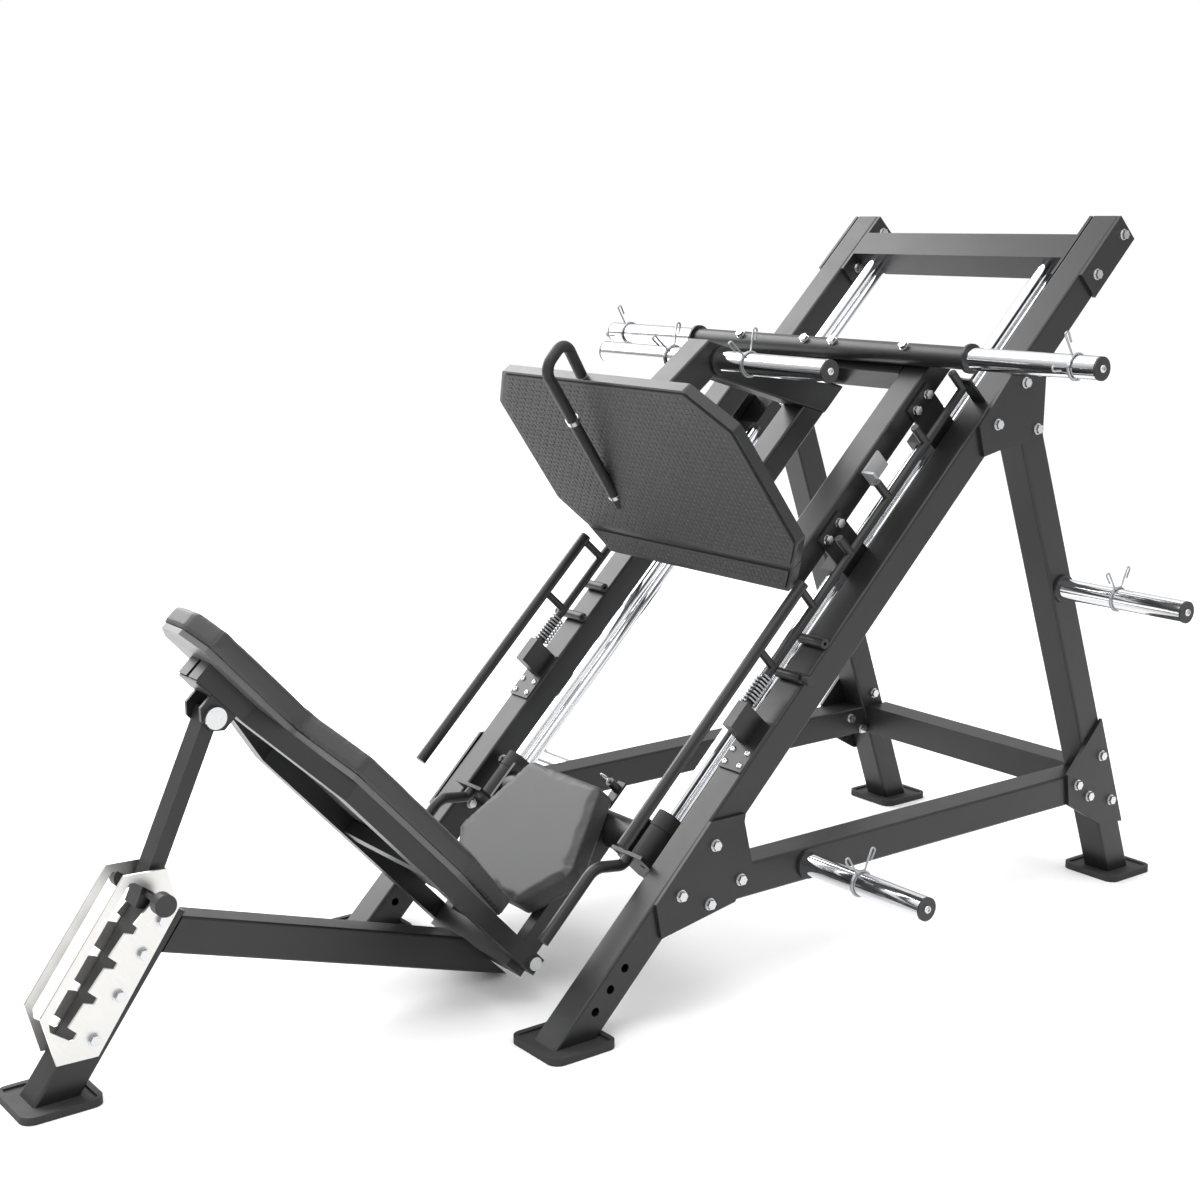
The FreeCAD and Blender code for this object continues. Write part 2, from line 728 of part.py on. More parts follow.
def flat_plate(label, outline, thickness, placement, corner=None, wall=None):
    """Plate whose outline lies in its own XY plane; with a wall it is a closed hollow shell."""
    body = doc.addObject("PartDesign::Body", label)
    flat = pad(body, add_sketch(body, "XY_Plane", outline), thickness, "One side")
    if corner:
        round_edges(body, flat, corner, lambda a, b: abs(a.z - b.z) > 1e-3 and math.dist(a[:2], b[:2]) < 1e-6)
    if wall:
        doc.recompute()
        depth = flat.Length.Value
        core = add_sketch(body, "XY_Plane", inset(outline, wall))
        core.AttachmentOffset = Placement(Vector(0, 0, depth / 2), Rotation())
        pocket(body, core, depth - 2 * wall)
    body.Placement = placement
    return body


def mirrored(half_outline):
    """Close a half outline given as (distance along, half width) from one end to the other."""
    return [(x, -y) for x, y in half_outline] + [(x, y) for x, y in reversed(half_outline)]


PIVOT = rail_xz(v.pivot_station, seat_mid)
PIVOT_HOLE = "Sizes.pivot_bolt + 2 * Sizes.running_gap"
seat_end = v.cross_tube_station
seat_outline = strip(rail_xz(seat_low, seat_mid), rail_xz(seat_end, seat_mid), v.seat_tube_height)
saddle = cylinder("Sizes.cross_tube_diameter / 2", 2 * v.rail_centre,
                  on_rail(v.cross_tube_station, -v.rail_centre, -v.cross_tube_diameter / 2), Y_AXIS)
seat_parts = []
for side in SIDES.values():
    tube = side_plate("SeatTube", seat_outline, side * v.seat_tube_centre, "Sizes.seat_tube_width",
                      [(PIVOT, PIVOT_HOLE)])
    core = add_sketch(tube, "XZ_Plane", inset(seat_outline, v.tube_wall))
    pocket(tube, core, "Sizes.seat_tube_width - 2 * Sizes.tube_wall")
    seat_parts.append(cut(tube, copy_of(saddle, saddle.Placement)))
seat_gap = 2 * (v.seat_tube_centre - v.seat_tube_width / 2)
seat_square = square(v.seat_tube_height, v.seat_tube_height)
for station in (seat_low + v.seat_tube_height / 2, 380):
    bar = profile_bar("SeatBar", seat_square, inset(seat_square, v.tube_wall), seat_gap,
                      Placement(on_rail(station, 0, seat_mid), RAIL_ROTATION))
    seat_parts.append(bar)
pin_station = 572
pin_y = -v.seat_tube_centre + 18
tab = box(66, 26, 6, Placement(on_rail(pin_station - 14, pin_y, -3), RAIL_ROTATION))
pin_guide = cylinder(10, 30, on_rail(pin_station, pin_y, -1), N)
pin_bore = cylinder("Sizes.pull_pin / 2 + Sizes.running_gap", 60, on_rail(pin_station, pin_y, -20), N)
seat_parts.append(cut(fuse([tab, pin_guide]), pin_bore))
group(seat_parts, "seat_frame")
stem = cylinder("Sizes.pull_pin / 2", 38, on_rail(pin_station, pin_y, -2), N)
pull_ring = torus(11, 1.5, on_rail(pin_station, pin_y, 48), U)
node(fuse([stem, pull_ring]), "seat_pop_pin")

SEAT_PLAN = [(231, 131), (340, 220), (553, 136)]
seat = flat_plate("seat_pad", mirrored(SEAT_PLAN), "Sizes.seat_thick",
                  Placement(on_rail(0, 0, v.seat_top - v.seat_thick), RAIL_ROTATION), "Sizes.foot_corner")
node(seat, "seat_pad")

GRIP_ROUTE = [(v.bracket_station - v.plate_thick, 18), (415, 18), (370, 77), (184, 77)]
for name, side in SIDES.items():
    route = [on_rail(station, side * v.grip_centre, level) for station, level in GRIP_ROUTE]
    node(swept_bar(route, [20, 45], "Sizes.grip_diameter", "Grip"), f"hand_grip_{name}")


# ---------------------------------------------------------------- backrest

PAD_DOWN = direction(-v.pad_angle)
PAD_OUT = turned(PAD_DOWN)
PIVOT_REACH = 1056
PIVOT_DEPTH = v.pad_thick + v.board_thick + v.carrier_depth / 2
PAD_HEAD = move(move(PIVOT, PAD_DOWN, -PIVOT_REACH), PAD_OUT, PIVOT_DEPTH)
PAD_ROTATION = frame_rotation(Vector(PAD_DOWN[0], 0, PAD_DOWN[1]), Y_AXIS)


def pad_xz(down, out):
    return move(move(PAD_HEAD, PAD_DOWN, down), PAD_OUT, out)


def on_pad(out):
    return Placement(at(pad_xz(0, out), 0), PAD_ROTATION)


PAD_PLAN = [(0, 43), (48, 100), (306, 97), (416, 200), (759, 205), (v.pad_length, 140)]
pad_outline = mirrored(PAD_PLAN)
node(flat_plate("backrest_pad", pad_outline, "Sizes.pad_thick", on_pad(-v.pad_thick), 18), "backrest_pad")
board_outline = inset(pad_outline, 12)
board_level = -v.pad_thick - v.board_thick
node(flat_plate("backrest_board", board_outline, "Sizes.board_thick", on_pad(board_level), 8), "backrest_board")

carrier_level = board_level - v.carrier_depth
CARRIER_START = 100
CARRIER_NARROW = 5
leg_gap = 3
carrier_wide = v.seat_tube_centre + v.seat_tube_width / 2 + leg_gap
carrier_route = [(CARRIER_START, CARRIER_NARROW), (232, CARRIER_NARROW), (435, carrier_wide),
                 (PIVOT_REACH + 20, carrier_wide)]
outer_route = [(d, y + v.carrier_width) for d, y in carrier_route]
HINGE = pad_xz(183, carrier_level - 29)
EAR = [(148, 0), (148, -34), (168, -52), (198, -52), (218, -34), (218, 0)]
ear_gap = v.strut_width / 2 + 2.5
ear_outline = [pad_xz(d, carrier_level + t) for d, t in EAR]
carrier_parts = []
for side in SIDES.values():
    leg = carrier_route + outer_route[::-1]
    if side < 0:
        leg = [(d, -y) for d, y in reversed(leg)]
    shell = flat_plate("CarrierLeg", leg, "Sizes.carrier_depth", on_pad(carrier_level), wall=v.tube_wall)
    bore = cylinder("Sizes.pivot_bolt / 2 + Sizes.running_gap", 80,
                    at(PIVOT, side * carrier_wide - 40 + side * v.carrier_width / 2), Y_AXIS)
    carrier_parts.append(cut(shell, bore))
    ear = side_plate("Ear", ear_outline[::-1], side * (ear_gap + v.plate_thick / 2), "Sizes.plate_thick",
                     [(HINGE, PIVOT_HOLE)])
    carrier_parts.append(ear)
head_plate = flat_plate("HeadPlate", [(104, -38), (146, -38), (146, 38), (104, 38)], 5, on_pad(carrier_level - 5))
tie = flat_plate("Tie", [(700, -carrier_wide), (735, -carrier_wide), (735, carrier_wide), (700, carrier_wide)],
                 30, on_pad(carrier_level + 5))
node(fuse(carrier_parts + [head_plate, tie]), "backrest_frame")

strut_outline = strip(PIN_SEAT, HINGE, v.strut_depth, before=30, after=11)
strut_outline = clip(strut_outline, ladder_xz(0, -9), (-LADDER_OUT[0], -LADDER_OUT[1]))
strut_tube = side_plate("StrutTube", strut_outline, 0, "Sizes.strut_width",
                        [(HINGE, PIVOT_HOLE), (PIN_SEAT, "Sizes.strut_pin")])
pocket(strut_tube, add_sketch(strut_tube, "XZ_Plane", inset(strut_outline, v.tube_wall)),
       "Sizes.strut_width - 2 * Sizes.tube_wall")
node(strut_tube, "backrest_strut")
knob_at = 84
pin_half = 87
cross_pin = cylinder("Sizes.strut_pin / 2", 2 * pin_half, at(PIN_SEAT, -pin_half), Y_AXIS)
knobs = [cylinder(22, 24, at(PIN_SEAT, knob_at if side > 0 else -knob_at - 24), Y_AXIS) for side in (1, -1)]
node(fuse([cross_pin] + knobs), "strut_pin")

pivot_bolts = []
bolt_inner = v.seat_tube_centre - v.seat_tube_width / 2
bolt_outer = carrier_wide + v.carrier_width
for side in SIDES.values():
    outward = Y_AXIS * side
    shank = cylinder("Sizes.pivot_bolt / 2", bolt_outer - bolt_inner, at(PIVOT, side * bolt_inner), outward)
    head = cylinder(15, 9, at(PIVOT, side * (bolt_outer + 0.5)), outward)
    stem = cylinder("Sizes.pivot_bolt / 2", 1, at(PIVOT, side * bolt_outer), outward)
    pivot_bolts.append(fuse([shank, stem, head]))
group(pivot_bolts, "pivot_bolts")
ear_outer = ear_gap + v.plate_thick
hinge_shank = cylinder("Sizes.pivot_bolt / 2", 2 * ear_outer, at(HINGE, -ear_outer), Y_AXIS)
hinge_heads = [cylinder(22, 10, at(HINGE, ear_outer if side > 0 else -ear_outer - 10), Y_AXIS) for side in (1, -1)]
node(fuse([hinge_shank] + hinge_heads), "strut_hinge_bolt")


# ---------------------------------------------------------------- sled

LIP_STATION = 1119.3
LIP_HEIGHT = 153.4
CREASE = rail_xz(LIP_STATION, LIP_HEIGHT)
PLATE_BACK = direction(v.foot_plate_lean)
PLATE_UP = turned(PLATE_BACK)
LIP_BACK = direction(v.foot_plate_lean - v.lip_bend)
LIP_UP = turned(LIP_BACK)
plate_total = v.plate_depth + v.tread_thick
LIP_REAR = move(CREASE, LIP_BACK, plate_total)
PLATE_REAR = move(CREASE, PLATE_BACK, plate_total)
TO_FRONT = (-LIP_BACK[0], -LIP_BACK[1])
SLED_MID = v.sled_gap + v.sled_tube_height / 2
SLED_TOP = v.sled_gap + v.sled_tube_height
CROSS_STATION = 1727.5

MITRE = rail_xz(1454, 419)
LOWER_ARM = direction(37.8)
UPPER_ARM = direction(-16.6)
MITRE_NORMAL = (LOWER_ARM[0] + UPPER_ARM[0], LOWER_ARM[1] + UPPER_ARM[1])
AWAY = (-MITRE_NORMAL[0], -MITRE_NORMAL[1])
INTO_RAIL = (-OFF_RAIL[0], -OFF_RAIL[1])
cross_low = CROSS_STATION - HALF

upper_arm = strip(MITRE, move(MITRE, UPPER_ARM, 700), v.tube_width, before=100)
upper_arm = clip(clip(upper_arm, MITRE, AWAY), rail_xz(0, v.sled_gap), INTO_RAIL)
upper_arm = clip(upper_arm, rail_xz(cross_low, 0), UP_RAIL)
box_tube("sled_arm_upper", upper_arm, 0, along=UPPER_ARM)
lower_arm = strip(move(MITRE, LOWER_ARM, -500), MITRE, v.tube_width, after=100)
lower_arm = clip(clip(lower_arm, MITRE, MITRE_NORMAL), PLATE_REAR, (-PLATE_BACK[0], -PLATE_BACK[1]))
box_tube("sled_arm_lower", lower_arm, 0, along=LOWER_ARM)
spine = strip(rail_xz(1000, SLED_MID), rail_xz(1800, SLED_MID), v.sled_tube_height)
arm_face = move(MITRE, turned(UPPER_ARM), -HALF)
spine = clip(clip(spine, LIP_REAR, TO_FRONT), arm_face, turned(UPPER_ARM))
box_tube("sled_spine", spine, 0, along=UP_RAIL)
side_tube = strip(rail_xz(1000, SLED_MID), rail_xz(CROSS_STATION + HALF, SLED_MID), v.sled_tube_height)
side_tube = clip(side_tube, LIP_REAR, TO_FRONT)
for name, side in SIDES.items():
    box_tube(f"sled_side_tube_{name}", side_tube, side * v.side_tube_centre, along=UP_RAIL)
cross_section = square(v.tube_width, v.sled_tube_height)
cross_length = 2 * (v.side_tube_centre - HALF)
node(profile_bar("sled_cross_tube", cross_section, inset(cross_section, v.tube_wall), cross_length,
                 Placement(on_rail(CROSS_STATION, 0, SLED_MID), RAIL_ROTATION)), "sled_cross_tube")

# Foot plate: half widths at heights above its crease, and the lip below the crease.
PLATE_PLAN = [(0, 365), (79, 426), (379, 417), (475, 323)]
LIP_PLAN = [(-v.lip_length, 316), (0, 365)]


def plate_rotation(up, back):
    return Rotation(Y_AXIS, Vector(up[0], 0, up[1]), Vector(back[0], 0, back[1]), "XYZ")


def upright(half_outline):
    """Outline with its width along local X and its height along local Y."""
    return [(-y, x) for x, y in mirrored(half_outline)]


def plate_at(depth):
    return Placement(at(move(CREASE, PLATE_BACK, depth), 0), plate_rotation(PLATE_UP, PLATE_BACK))


def lip_at(depth):
    return Placement(at(move(CREASE, LIP_BACK, depth), 0), plate_rotation(LIP_UP, LIP_BACK))


main_outline = upright(PLATE_PLAN)
lip_outline = upright([LIP_PLAN[0], LIP_PLAN[1], (4, 365)])
main_panel = flat_plate("Panel", main_outline, "Sizes.plate_depth", plate_at(v.tread_thick), 12, v.tube_wall)
lip_panel = flat_plate("Lip", lip_outline, "Sizes.plate_depth", lip_at(v.tread_thick), wall=v.tube_wall)
node(fuse([main_panel, lip_panel]), "foot_plate")
tread = flat_plate("Tread", inset(main_outline, 9), "Sizes.tread_thick", plate_at(0), 8)
lip_tread = flat_plate("LipTread", inset(upright(LIP_PLAN), 9), "Sizes.tread_thick", lip_at(0))
group([tread, lip_tread], "foot_plate_tread")

# The hook handle's route as (up the plate, across, out from the plate).
HOOK_ROUTE = [(479, 28, -14), (580, 2, -8), (572, -17, 80), (92, 173, -6)]


def off_plate(up, across, out):
    return at(move(move(CREASE, PLATE_UP, up), PLATE_BACK, -out), across)


hook_points = [off_plate(*point) for point in HOOK_ROUTE]
hook = swept_bar(hook_points, [34, 27], "Sizes.grip_diameter", "Hook")
plate_middle = move(move(CREASE, PLATE_UP, 180), PLATE_BACK, 50)
plate_space = box(900, 590, 100, Placement(at(plate_middle, 0), plate_rotation(PLATE_UP, PLATE_BACK)))
node(cut(hook, plate_space), "hook_handle")

weight_axis = SLED_TOP + v.sleeve_diameter / 2
PIPE_HALF = 455
# The collar's seat starts this far behind the middle of its coils.
SEAT_BEHIND = 4


def sleeve(start, length, outward):
    return ring_bar("Sizes.sleeve_diameter / 2", "Sizes.sleeve_diameter / 2 - Sizes.tube_wall", length,
                    start, outward, "Sleeve")


def seated_sleeve(start, length, collar_station, outward):
    """Sleeve with a shallow seat for its wire collar, open towards the free end."""
    groove = ring_bar("Sizes.sleeve_diameter / 2 + 1", "Sizes.sleeve_diameter / 2 - Sizes.seat_groove",
                      "Sizes.seat_width", start + outward * (collar_station - SEAT_BEHIND), outward, "Seat")
    return cut(sleeve(start, length, outward), groove, "SeatedSleeve")


def flange(start, outward, gap=0.2):
    return ring_bar("Sizes.flange_diameter / 2", f"Sizes.sleeve_diameter / 2 + {gap}", "Sizes.flange_thick",
                    start, outward, "Flange")


def cap(start, outward):
    return cylinder("Sizes.sleeve_diameter / 2", "Sizes.cap_thick", start, outward)


def wire_collar():
    """Two coils of round wire and two looped finger grips; the sleeve's axis is local Z."""
    wire = 2.3
    ring_radius = v.sleeve_diameter / 2 + wire + 0.3
    coils = [torus(ring_radius, wire, Vector(0, 0, level), Z_AXIS) for level in (-wire - 0.1, wire + 0.1)]
    loops = []
    for angle, level in ((35, -wire - 0.1), (145, wire + 0.1)):
        turn = math.radians(angle)
        out = Vector(math.cos(turn), math.sin(turn), 0)
        across = Vector(-out.y, out.x, 0)
        rise = Vector(0, 0, level)
        foot_out = out * ring_radius
        top_out = out * (ring_radius + 46)
        for offset in (-9, 9):
            loops.append(cylinder(wire, 46, foot_out + across * offset + rise, out))
        bend = torus(9, wire, top_out + rise, Z_AXIS)
        loops.append(bend)
    return fuse(coils + loops, "WireCollar")


collar = wire_collar()


def collar_at(point, outward):
    return copy_of(collar, Placement(point, Rotation(X_AXIS if outward.y > 0 else -X_AXIS, Z_AXIS, outward, "ZXY")))


pipe_parts = [ring_bar("Sizes.sleeve_diameter / 2", "Sizes.sleeve_diameter / 2 - Sizes.tube_wall",
                       2 * PIPE_HALF, on_rail(CROSS_STATION, -PIPE_HALF, weight_axis), Y_AXIS)]
band_xz = move(MITRE, UPPER_ARM, 30)
storage_xz = [(FRONT_ANCHOR[0] + 290, BASE_MID[1]), meet(LEG_HEAD, LEG_DOWN, (0, 770), (1, 0))]
weight_horns, sled_trim, sled_collars = [], [], []
storage_horns, storage_trim, storage_collars = [], [], []
rail_face = v.rail_centre + HALF
# How far along its horn each wire collar sits.
END_COLLAR_AT = 283
BAND_COLLAR_AT = 95
STORAGE_COLLAR_AT = 160
for side in SIDES.values():
    outward = Y_AXIS * side
    pipe_end = on_rail(CROSS_STATION, side * PIPE_HALF, weight_axis)
    pipe_parts.append(ring_bar("Sizes.flange_diameter / 2", "Sizes.sleeve_diameter / 2 - Sizes.tube_wall",
                               "Sizes.flange_thick", pipe_end, outward))
    horn_start = pipe_end + outward * v.flange_thick
    weight_horns.append(seated_sleeve(horn_start, "Sizes.sleeve_length", END_COLLAR_AT, outward))
    sled_trim.append(cap(horn_start + outward * v.sleeve_length, outward))
    sled_collars.append(collar_at(horn_start + outward * END_COLLAR_AT, outward))
    band_start = at(band_xz, side * HALF)
    weight_horns.append(sleeve(band_start, "Sizes.band_horn_length", outward))
    sled_trim.append(flange(band_start, outward))
    sled_trim.append(cap(band_start + outward * v.band_horn_length, outward))
    sled_collars.append(collar_at(band_start + outward * BAND_COLLAR_AT, outward))
    for spot in storage_xz:
        start = at(spot, side * rail_face)
        storage_horns.append(sleeve(start, "Sizes.storage_length", outward))
        storage_trim.append(flange(start, outward))
        storage_trim.append(cap(start + outward * v.storage_length, outward))
        storage_collars.append(collar_at(start + outward * STORAGE_COLLAR_AT, outward))
node(fuse(pipe_parts), "weight_pipe")
group(weight_horns, "weight_horns")
group(sled_trim, "sled_horn_trim")
group(sled_collars, "sled_collars")
group(storage_horns, "storage_horns")
group(storage_trim, "storage_horn_trim")
group(storage_collars, "storage_collars")

HOUSING_STATIONS = (1267.5, 1642.5)
housing_outer = v.side_tube_centre + HALF
block_inner = v.rod_centre - v.rod_diameter / 2 - 12
block_low = ROD_LEVELS[1] - v.rod_diameter / 2 - 12
block_high = ROD_LEVELS[0] + v.rod_diameter / 2 + 12
cheek_high = SLED_TOP - 18
CATCH_STATION = 1415
CATCH_LENGTH = 65
catch_outer = v.lever_centre - v.lever_diameter / 2 - 4
catches = []
for name, side in SIDES.items():
    housings = []
    for station in HOUSING_STATIONS:
        block_width = housing_outer - block_inner
        block = box("Sizes.housing_length", block_width, block_high - block_low, Placement(
            on_rail(station, side * (block_inner + block_width / 2), (block_high + block_low) / 2), RAIL_ROTATION))
        cheek = box("Sizes.housing_length", "Sizes.housing_plate", cheek_high - block_low, Placement(
            on_rail(station, side * (housing_outer + v.housing_plate / 2), (cheek_high + block_low) / 2),
            RAIL_ROTATION))
        bores = [cylinder("Sizes.rod_diameter / 2 + Sizes.running_gap", v.housing_length + 20,
                          on_rail(station - v.housing_length / 2 - 10, side * v.rod_centre, level), U)
                 for level in ROD_LEVELS]
        housings.append(cut(fuse([block, cheek]), fuse(bores)))
    group(housings, f"bearing_housing_{name}")
    reach = catch_outer - housing_outer
    middle = side * (housing_outer + reach / 2)
    shelf = box(6, reach, 46, Placement(on_rail(CATCH_STATION + 3, middle, v.sled_gap + 24), RAIL_ROTATION))
    web = box(CATCH_LENGTH, 6, 46, Placement(on_rail(
        CATCH_STATION + CATCH_LENGTH / 2, side * (housing_outer + 3), v.sled_gap + 24), RAIL_ROTATION))
    catches.append(fuse([shelf, web]))
group(catches, "catch_plates")


# ---------------------------------------------------------------- safety levers

PEG_STATIONS = (1245, 1403, 1562, 1723)
STUB_STATIONS = (932, 1095)
SHAFT_START = 800
SHAFT_END = 1745
BAR_START = 421
BAR_END = 1107
BLOCK_START = 765
BLOCK_END = 829
SPRING_TURNS = 8
lugs = {"upper": 1038, "lower": 945}
lug_radius = 11
lever_radius = v.lever_diameter / 2
springs = []
for name, side in SIDES.items():
    y = side * v.lever_centre
    level = v.lever_height
    shaft = cylinder("Sizes.lever_diameter / 2", SHAFT_END - SHAFT_START, on_rail(SHAFT_START, y, level), U)
    pegs = [cylinder("Sizes.lever_diameter / 2", "Sizes.peg_height", on_rail(station, y, level), N)
            for station in PEG_STATIONS]
    bar_y = y + side * v.handle_offset
    bar_level = level + v.handle_rise
    stubs = []
    for station in STUB_STATIONS:
        foot_point = on_rail(station, y, level)
        climb = on_rail(station, bar_y, bar_level) - foot_point
        stubs.append(cylinder(lever_radius - 1, climb.Length, foot_point, climb))
    bar = cylinder("Sizes.handle_diameter / 2", BAR_END - BAR_START, on_rail(BAR_START, bar_y, bar_level), U)
    node(fuse([shaft, bar] + pegs + stubs), f"safety_lever_{name}")

    block_y = side * (catch_outer + 3 + 14)
    bearing = box(BLOCK_END - BLOCK_START, 28, level + 18, Placement(
        on_rail((BLOCK_START + BLOCK_END) / 2, block_y, (level + 18) / 2), RAIL_ROTATION))
    block_bore = cylinder("Sizes.lever_diameter / 2 + Sizes.running_gap", 60, on_rail(SHAFT_START - 1, y, level), U)
    base = box(BLOCK_END - 700, 70, 6, Placement(on_rail((BLOCK_END + 700) / 2, side * v.rail_centre, 3), RAIL_ROTATION))
    strap = box(6, 34, level + 18, Placement(
        on_rail(SHAFT_END - 8, block_y + side * 3, (level + 18) / 2), RAIL_ROTATION))
    strap_bore = cylinder("Sizes.lever_diameter / 2 + Sizes.running_gap", 40, on_rail(SHAFT_END - 30, y, level), U)
    mounts = [cut(fuse([bearing, base]), block_bore), cut(strap, strap_bore)]
    for lug, station in lugs.items():
        wall = cylinder(lug_radius, 74, on_rail(station, side * (v.rail_centre - 37), lug_radius), Y_AXIS * side)
        pin_bore = cylinder("Sizes.pull_pin / 2 + Sizes.running_gap", 90,
                            on_rail(station, side * (v.rail_centre - 45), lug_radius), Y_AXIS * side)
        mounts.append(cut(wall, pin_bore))
    group(mounts, f"safety_mount_{name}")

    pin_inner = housing_outer + v.housing_plate + 5
    knob_inner = v.rail_centre + 47.5
    pin_start = on_rail(lugs["lower"], side * pin_inner, lug_radius)
    pin = cylinder("Sizes.pull_pin / 2", knob_inner + 3 - pin_inner, pin_start, Y_AXIS * side)
    knob = cylinder(11, 18, on_rail(lugs["lower"], side * knob_inner, lug_radius), Y_AXIS * side)
    node(fuse([pin, knob]), f"pull_pin_{name}")
    for turn in range(SPRING_TURNS):
        spot = on_rail(BLOCK_END + 6 + turn * 9.8, y, level)
        springs.append(torus(16.5, 2.5, spot, U))
group(springs, "safety_springs")


# ---------------------------------------------------------------- bolts

gusset_bolt = through_bolt(v.tube_width + v.plate_thick, "GussetBolt")
end_bolt = through_bolt(v.tube_width + 2 * v.plate_thick, "EndBolt")
ladder_bolt = through_bolt(v.tube_width + 2 * v.ladder_thick, "LadderBolt")
frame_bolts = []
for side in SIDES.values():
    outward = Y_AXIS * side
    face = side * (v.rail_centre + HALF + v.plate_thick)
    for prototype, spots in ((gusset_bolt, gusset_bolts), (end_bolt, end_bolts)):
        frame_bolts += [copy_of(prototype, bolt_placement(at(spot, face), outward)) for spot in spots]
ladder_face = -(HALF + v.ladder_thick)
frame_bolts += [copy_of(ladder_bolt, bolt_placement(at(spot, ladder_face), -Y_AXIS)) for spot in post_bolts]
group(frame_bolts, "frame_bolts")


def cap_screw():
    """Hex head on a washer, standing on Z = 0."""
    washer = cylinder("Sizes.washer_diameter / 2 - 2", "Sizes.washer_thick", Vector(0, 0, 0), Z_AXIS)
    head = doc.addObject("Part::Prism", "Head")
    head.Polygon = 6
    bind(head, "Circumradius", "Sizes.hex_size / 2 / cos(30 deg)")
    bind(head, "Height", "Sizes.hex_height")
    head.Placement = Placement(Vector(0, 0, v.washer_thick), Rotation())
    return fuse([washer, head], "CapScrew")


screw = cap_screw()
sled_bolts = []
for side in SIDES.values():
    for y in (47, 276):
        top = on_rail(CROSS_STATION, side * y, weight_axis + v.sleeve_diameter / 2)
        sled_bolts.append(copy_of(screw, bolt_placement(top, N)))
    for station in HOUSING_STATIONS:
        for offset in (-24, 24):
            spot = on_rail(station + offset, side * (housing_outer + v.housing_plate), SLED_MID - 6)
            sled_bolts.append(copy_of(screw, bolt_placement(spot, Y_AXIS * side)))
straight = hook_points[3] - hook_points[2]
for share in (0.34, 0.905):
    spot = hook_points[2] + straight * share
    band = ring_bar("Sizes.grip_diameter / 2 + 2.5", "Sizes.grip_diameter / 2 + 0.2", 13, spot, straight)
    sled_bolts.append(cut(band, copy_of(plate_space, plate_space.Placement)))
group(sled_bolts, "sled_bolts")


# ---------------------------------------------------------------- check and export

doc.recompute()
for feature in doc.Objects:
    if any(state in ("Invalid", "Error") for state in feature.State):
        raise RuntimeError(f"{feature.Name} ({feature.Label}) failed: {feature.State}")
os.makedirs("parts", exist_ok=True)
for piece in NODES:
    shape = piece.Shape
    if shape.isNull() or not shape.isValid():
        raise RuntimeError(f"{piece.Label} has no valid shape")
    shape.exportStep(f"parts/{piece.Label}.step")

print("nodes", len(NODES))
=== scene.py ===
import math

import bmesh
import bpy
from mathutils import Matrix, Vector


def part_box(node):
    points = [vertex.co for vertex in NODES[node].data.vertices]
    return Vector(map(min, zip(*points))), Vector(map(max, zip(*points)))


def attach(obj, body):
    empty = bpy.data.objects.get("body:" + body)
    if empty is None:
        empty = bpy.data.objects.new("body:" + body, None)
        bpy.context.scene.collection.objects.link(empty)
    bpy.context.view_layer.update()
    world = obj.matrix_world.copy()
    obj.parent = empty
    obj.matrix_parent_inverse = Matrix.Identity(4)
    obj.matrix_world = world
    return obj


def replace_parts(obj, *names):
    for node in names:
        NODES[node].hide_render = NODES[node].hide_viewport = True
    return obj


# Plate-loaded hack squat machine: finishes, upholstery and small hardware on its steel frame.
# Metres, +Z up, +X towards the raised end of the rails, origin on the floor under the middle.

bl_info = {
    "name": "Hack Squat Machine",
    "version": (1, 0, 0),
    "blender": (4, 5, 0),
    "location": "View3D > Sidebar > Hack Squat",
    "description": "Upholsters, finishes and lights a plate-loaded hack squat machine",
    "category": "Object",
}

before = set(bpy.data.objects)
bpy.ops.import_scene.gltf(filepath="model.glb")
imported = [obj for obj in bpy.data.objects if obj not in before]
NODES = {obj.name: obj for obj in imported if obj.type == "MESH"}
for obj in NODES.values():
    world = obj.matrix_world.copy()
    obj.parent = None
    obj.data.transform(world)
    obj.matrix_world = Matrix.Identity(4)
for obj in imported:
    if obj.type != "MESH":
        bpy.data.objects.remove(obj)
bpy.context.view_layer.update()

# ------------------------------------------------------------------ the machine's directions

RAIL_ANGLE = math.radians(45)
UP_RAIL = Vector((math.cos(RAIL_ANGLE), 0, math.sin(RAIL_ANGLE)))
OFF_RAIL = Vector((-math.sin(RAIL_ANGLE), 0, math.cos(RAIL_ANGLE)))
ACROSS = Vector((0, 1, 0))
UP = Vector((0, 0, 1))
SIDES = {"left": 1, "right": -1}
RAIL_FOOT = Vector((-0.462436, 0, 0))
PAD_ANGLE = math.radians(47)
PAD_DOWN = Vector((math.cos(PAD_ANGLE), 0, -math.sin(PAD_ANGLE)))
PAD_OUT = Vector((math.sin(PAD_ANGLE), 0, math.cos(PAD_ANGLE)))
PLATE_ANGLE = math.radians(35.4)
PLATE_BACK = Vector((math.cos(PLATE_ANGLE), 0, math.sin(PLATE_ANGLE)))
PLATE_UP = Vector((-math.sin(PLATE_ANGLE), 0, math.cos(PLATE_ANGLE)))


def on_rail(station, across, height):
    """A point from millimetres up the rails, across and off their top face."""
    return RAIL_FOOT + UP_RAIL * (station / 1000) + OFF_RAIL * (height / 1000) + ACROSS * (across / 1000)


# ------------------------------------------------------------------ node and material helpers

def linear(hex_colour):
    """sRGB hex to a linear RGBA value."""
    channels = [int(hex_colour[i:i + 2], 16) / 255 for i in (0, 2, 4)]
    return tuple(c / 12.92 if c <= 0.04045 else ((c + 0.055) / 1.055) ** 2.4 for c in channels) + (1.0,)


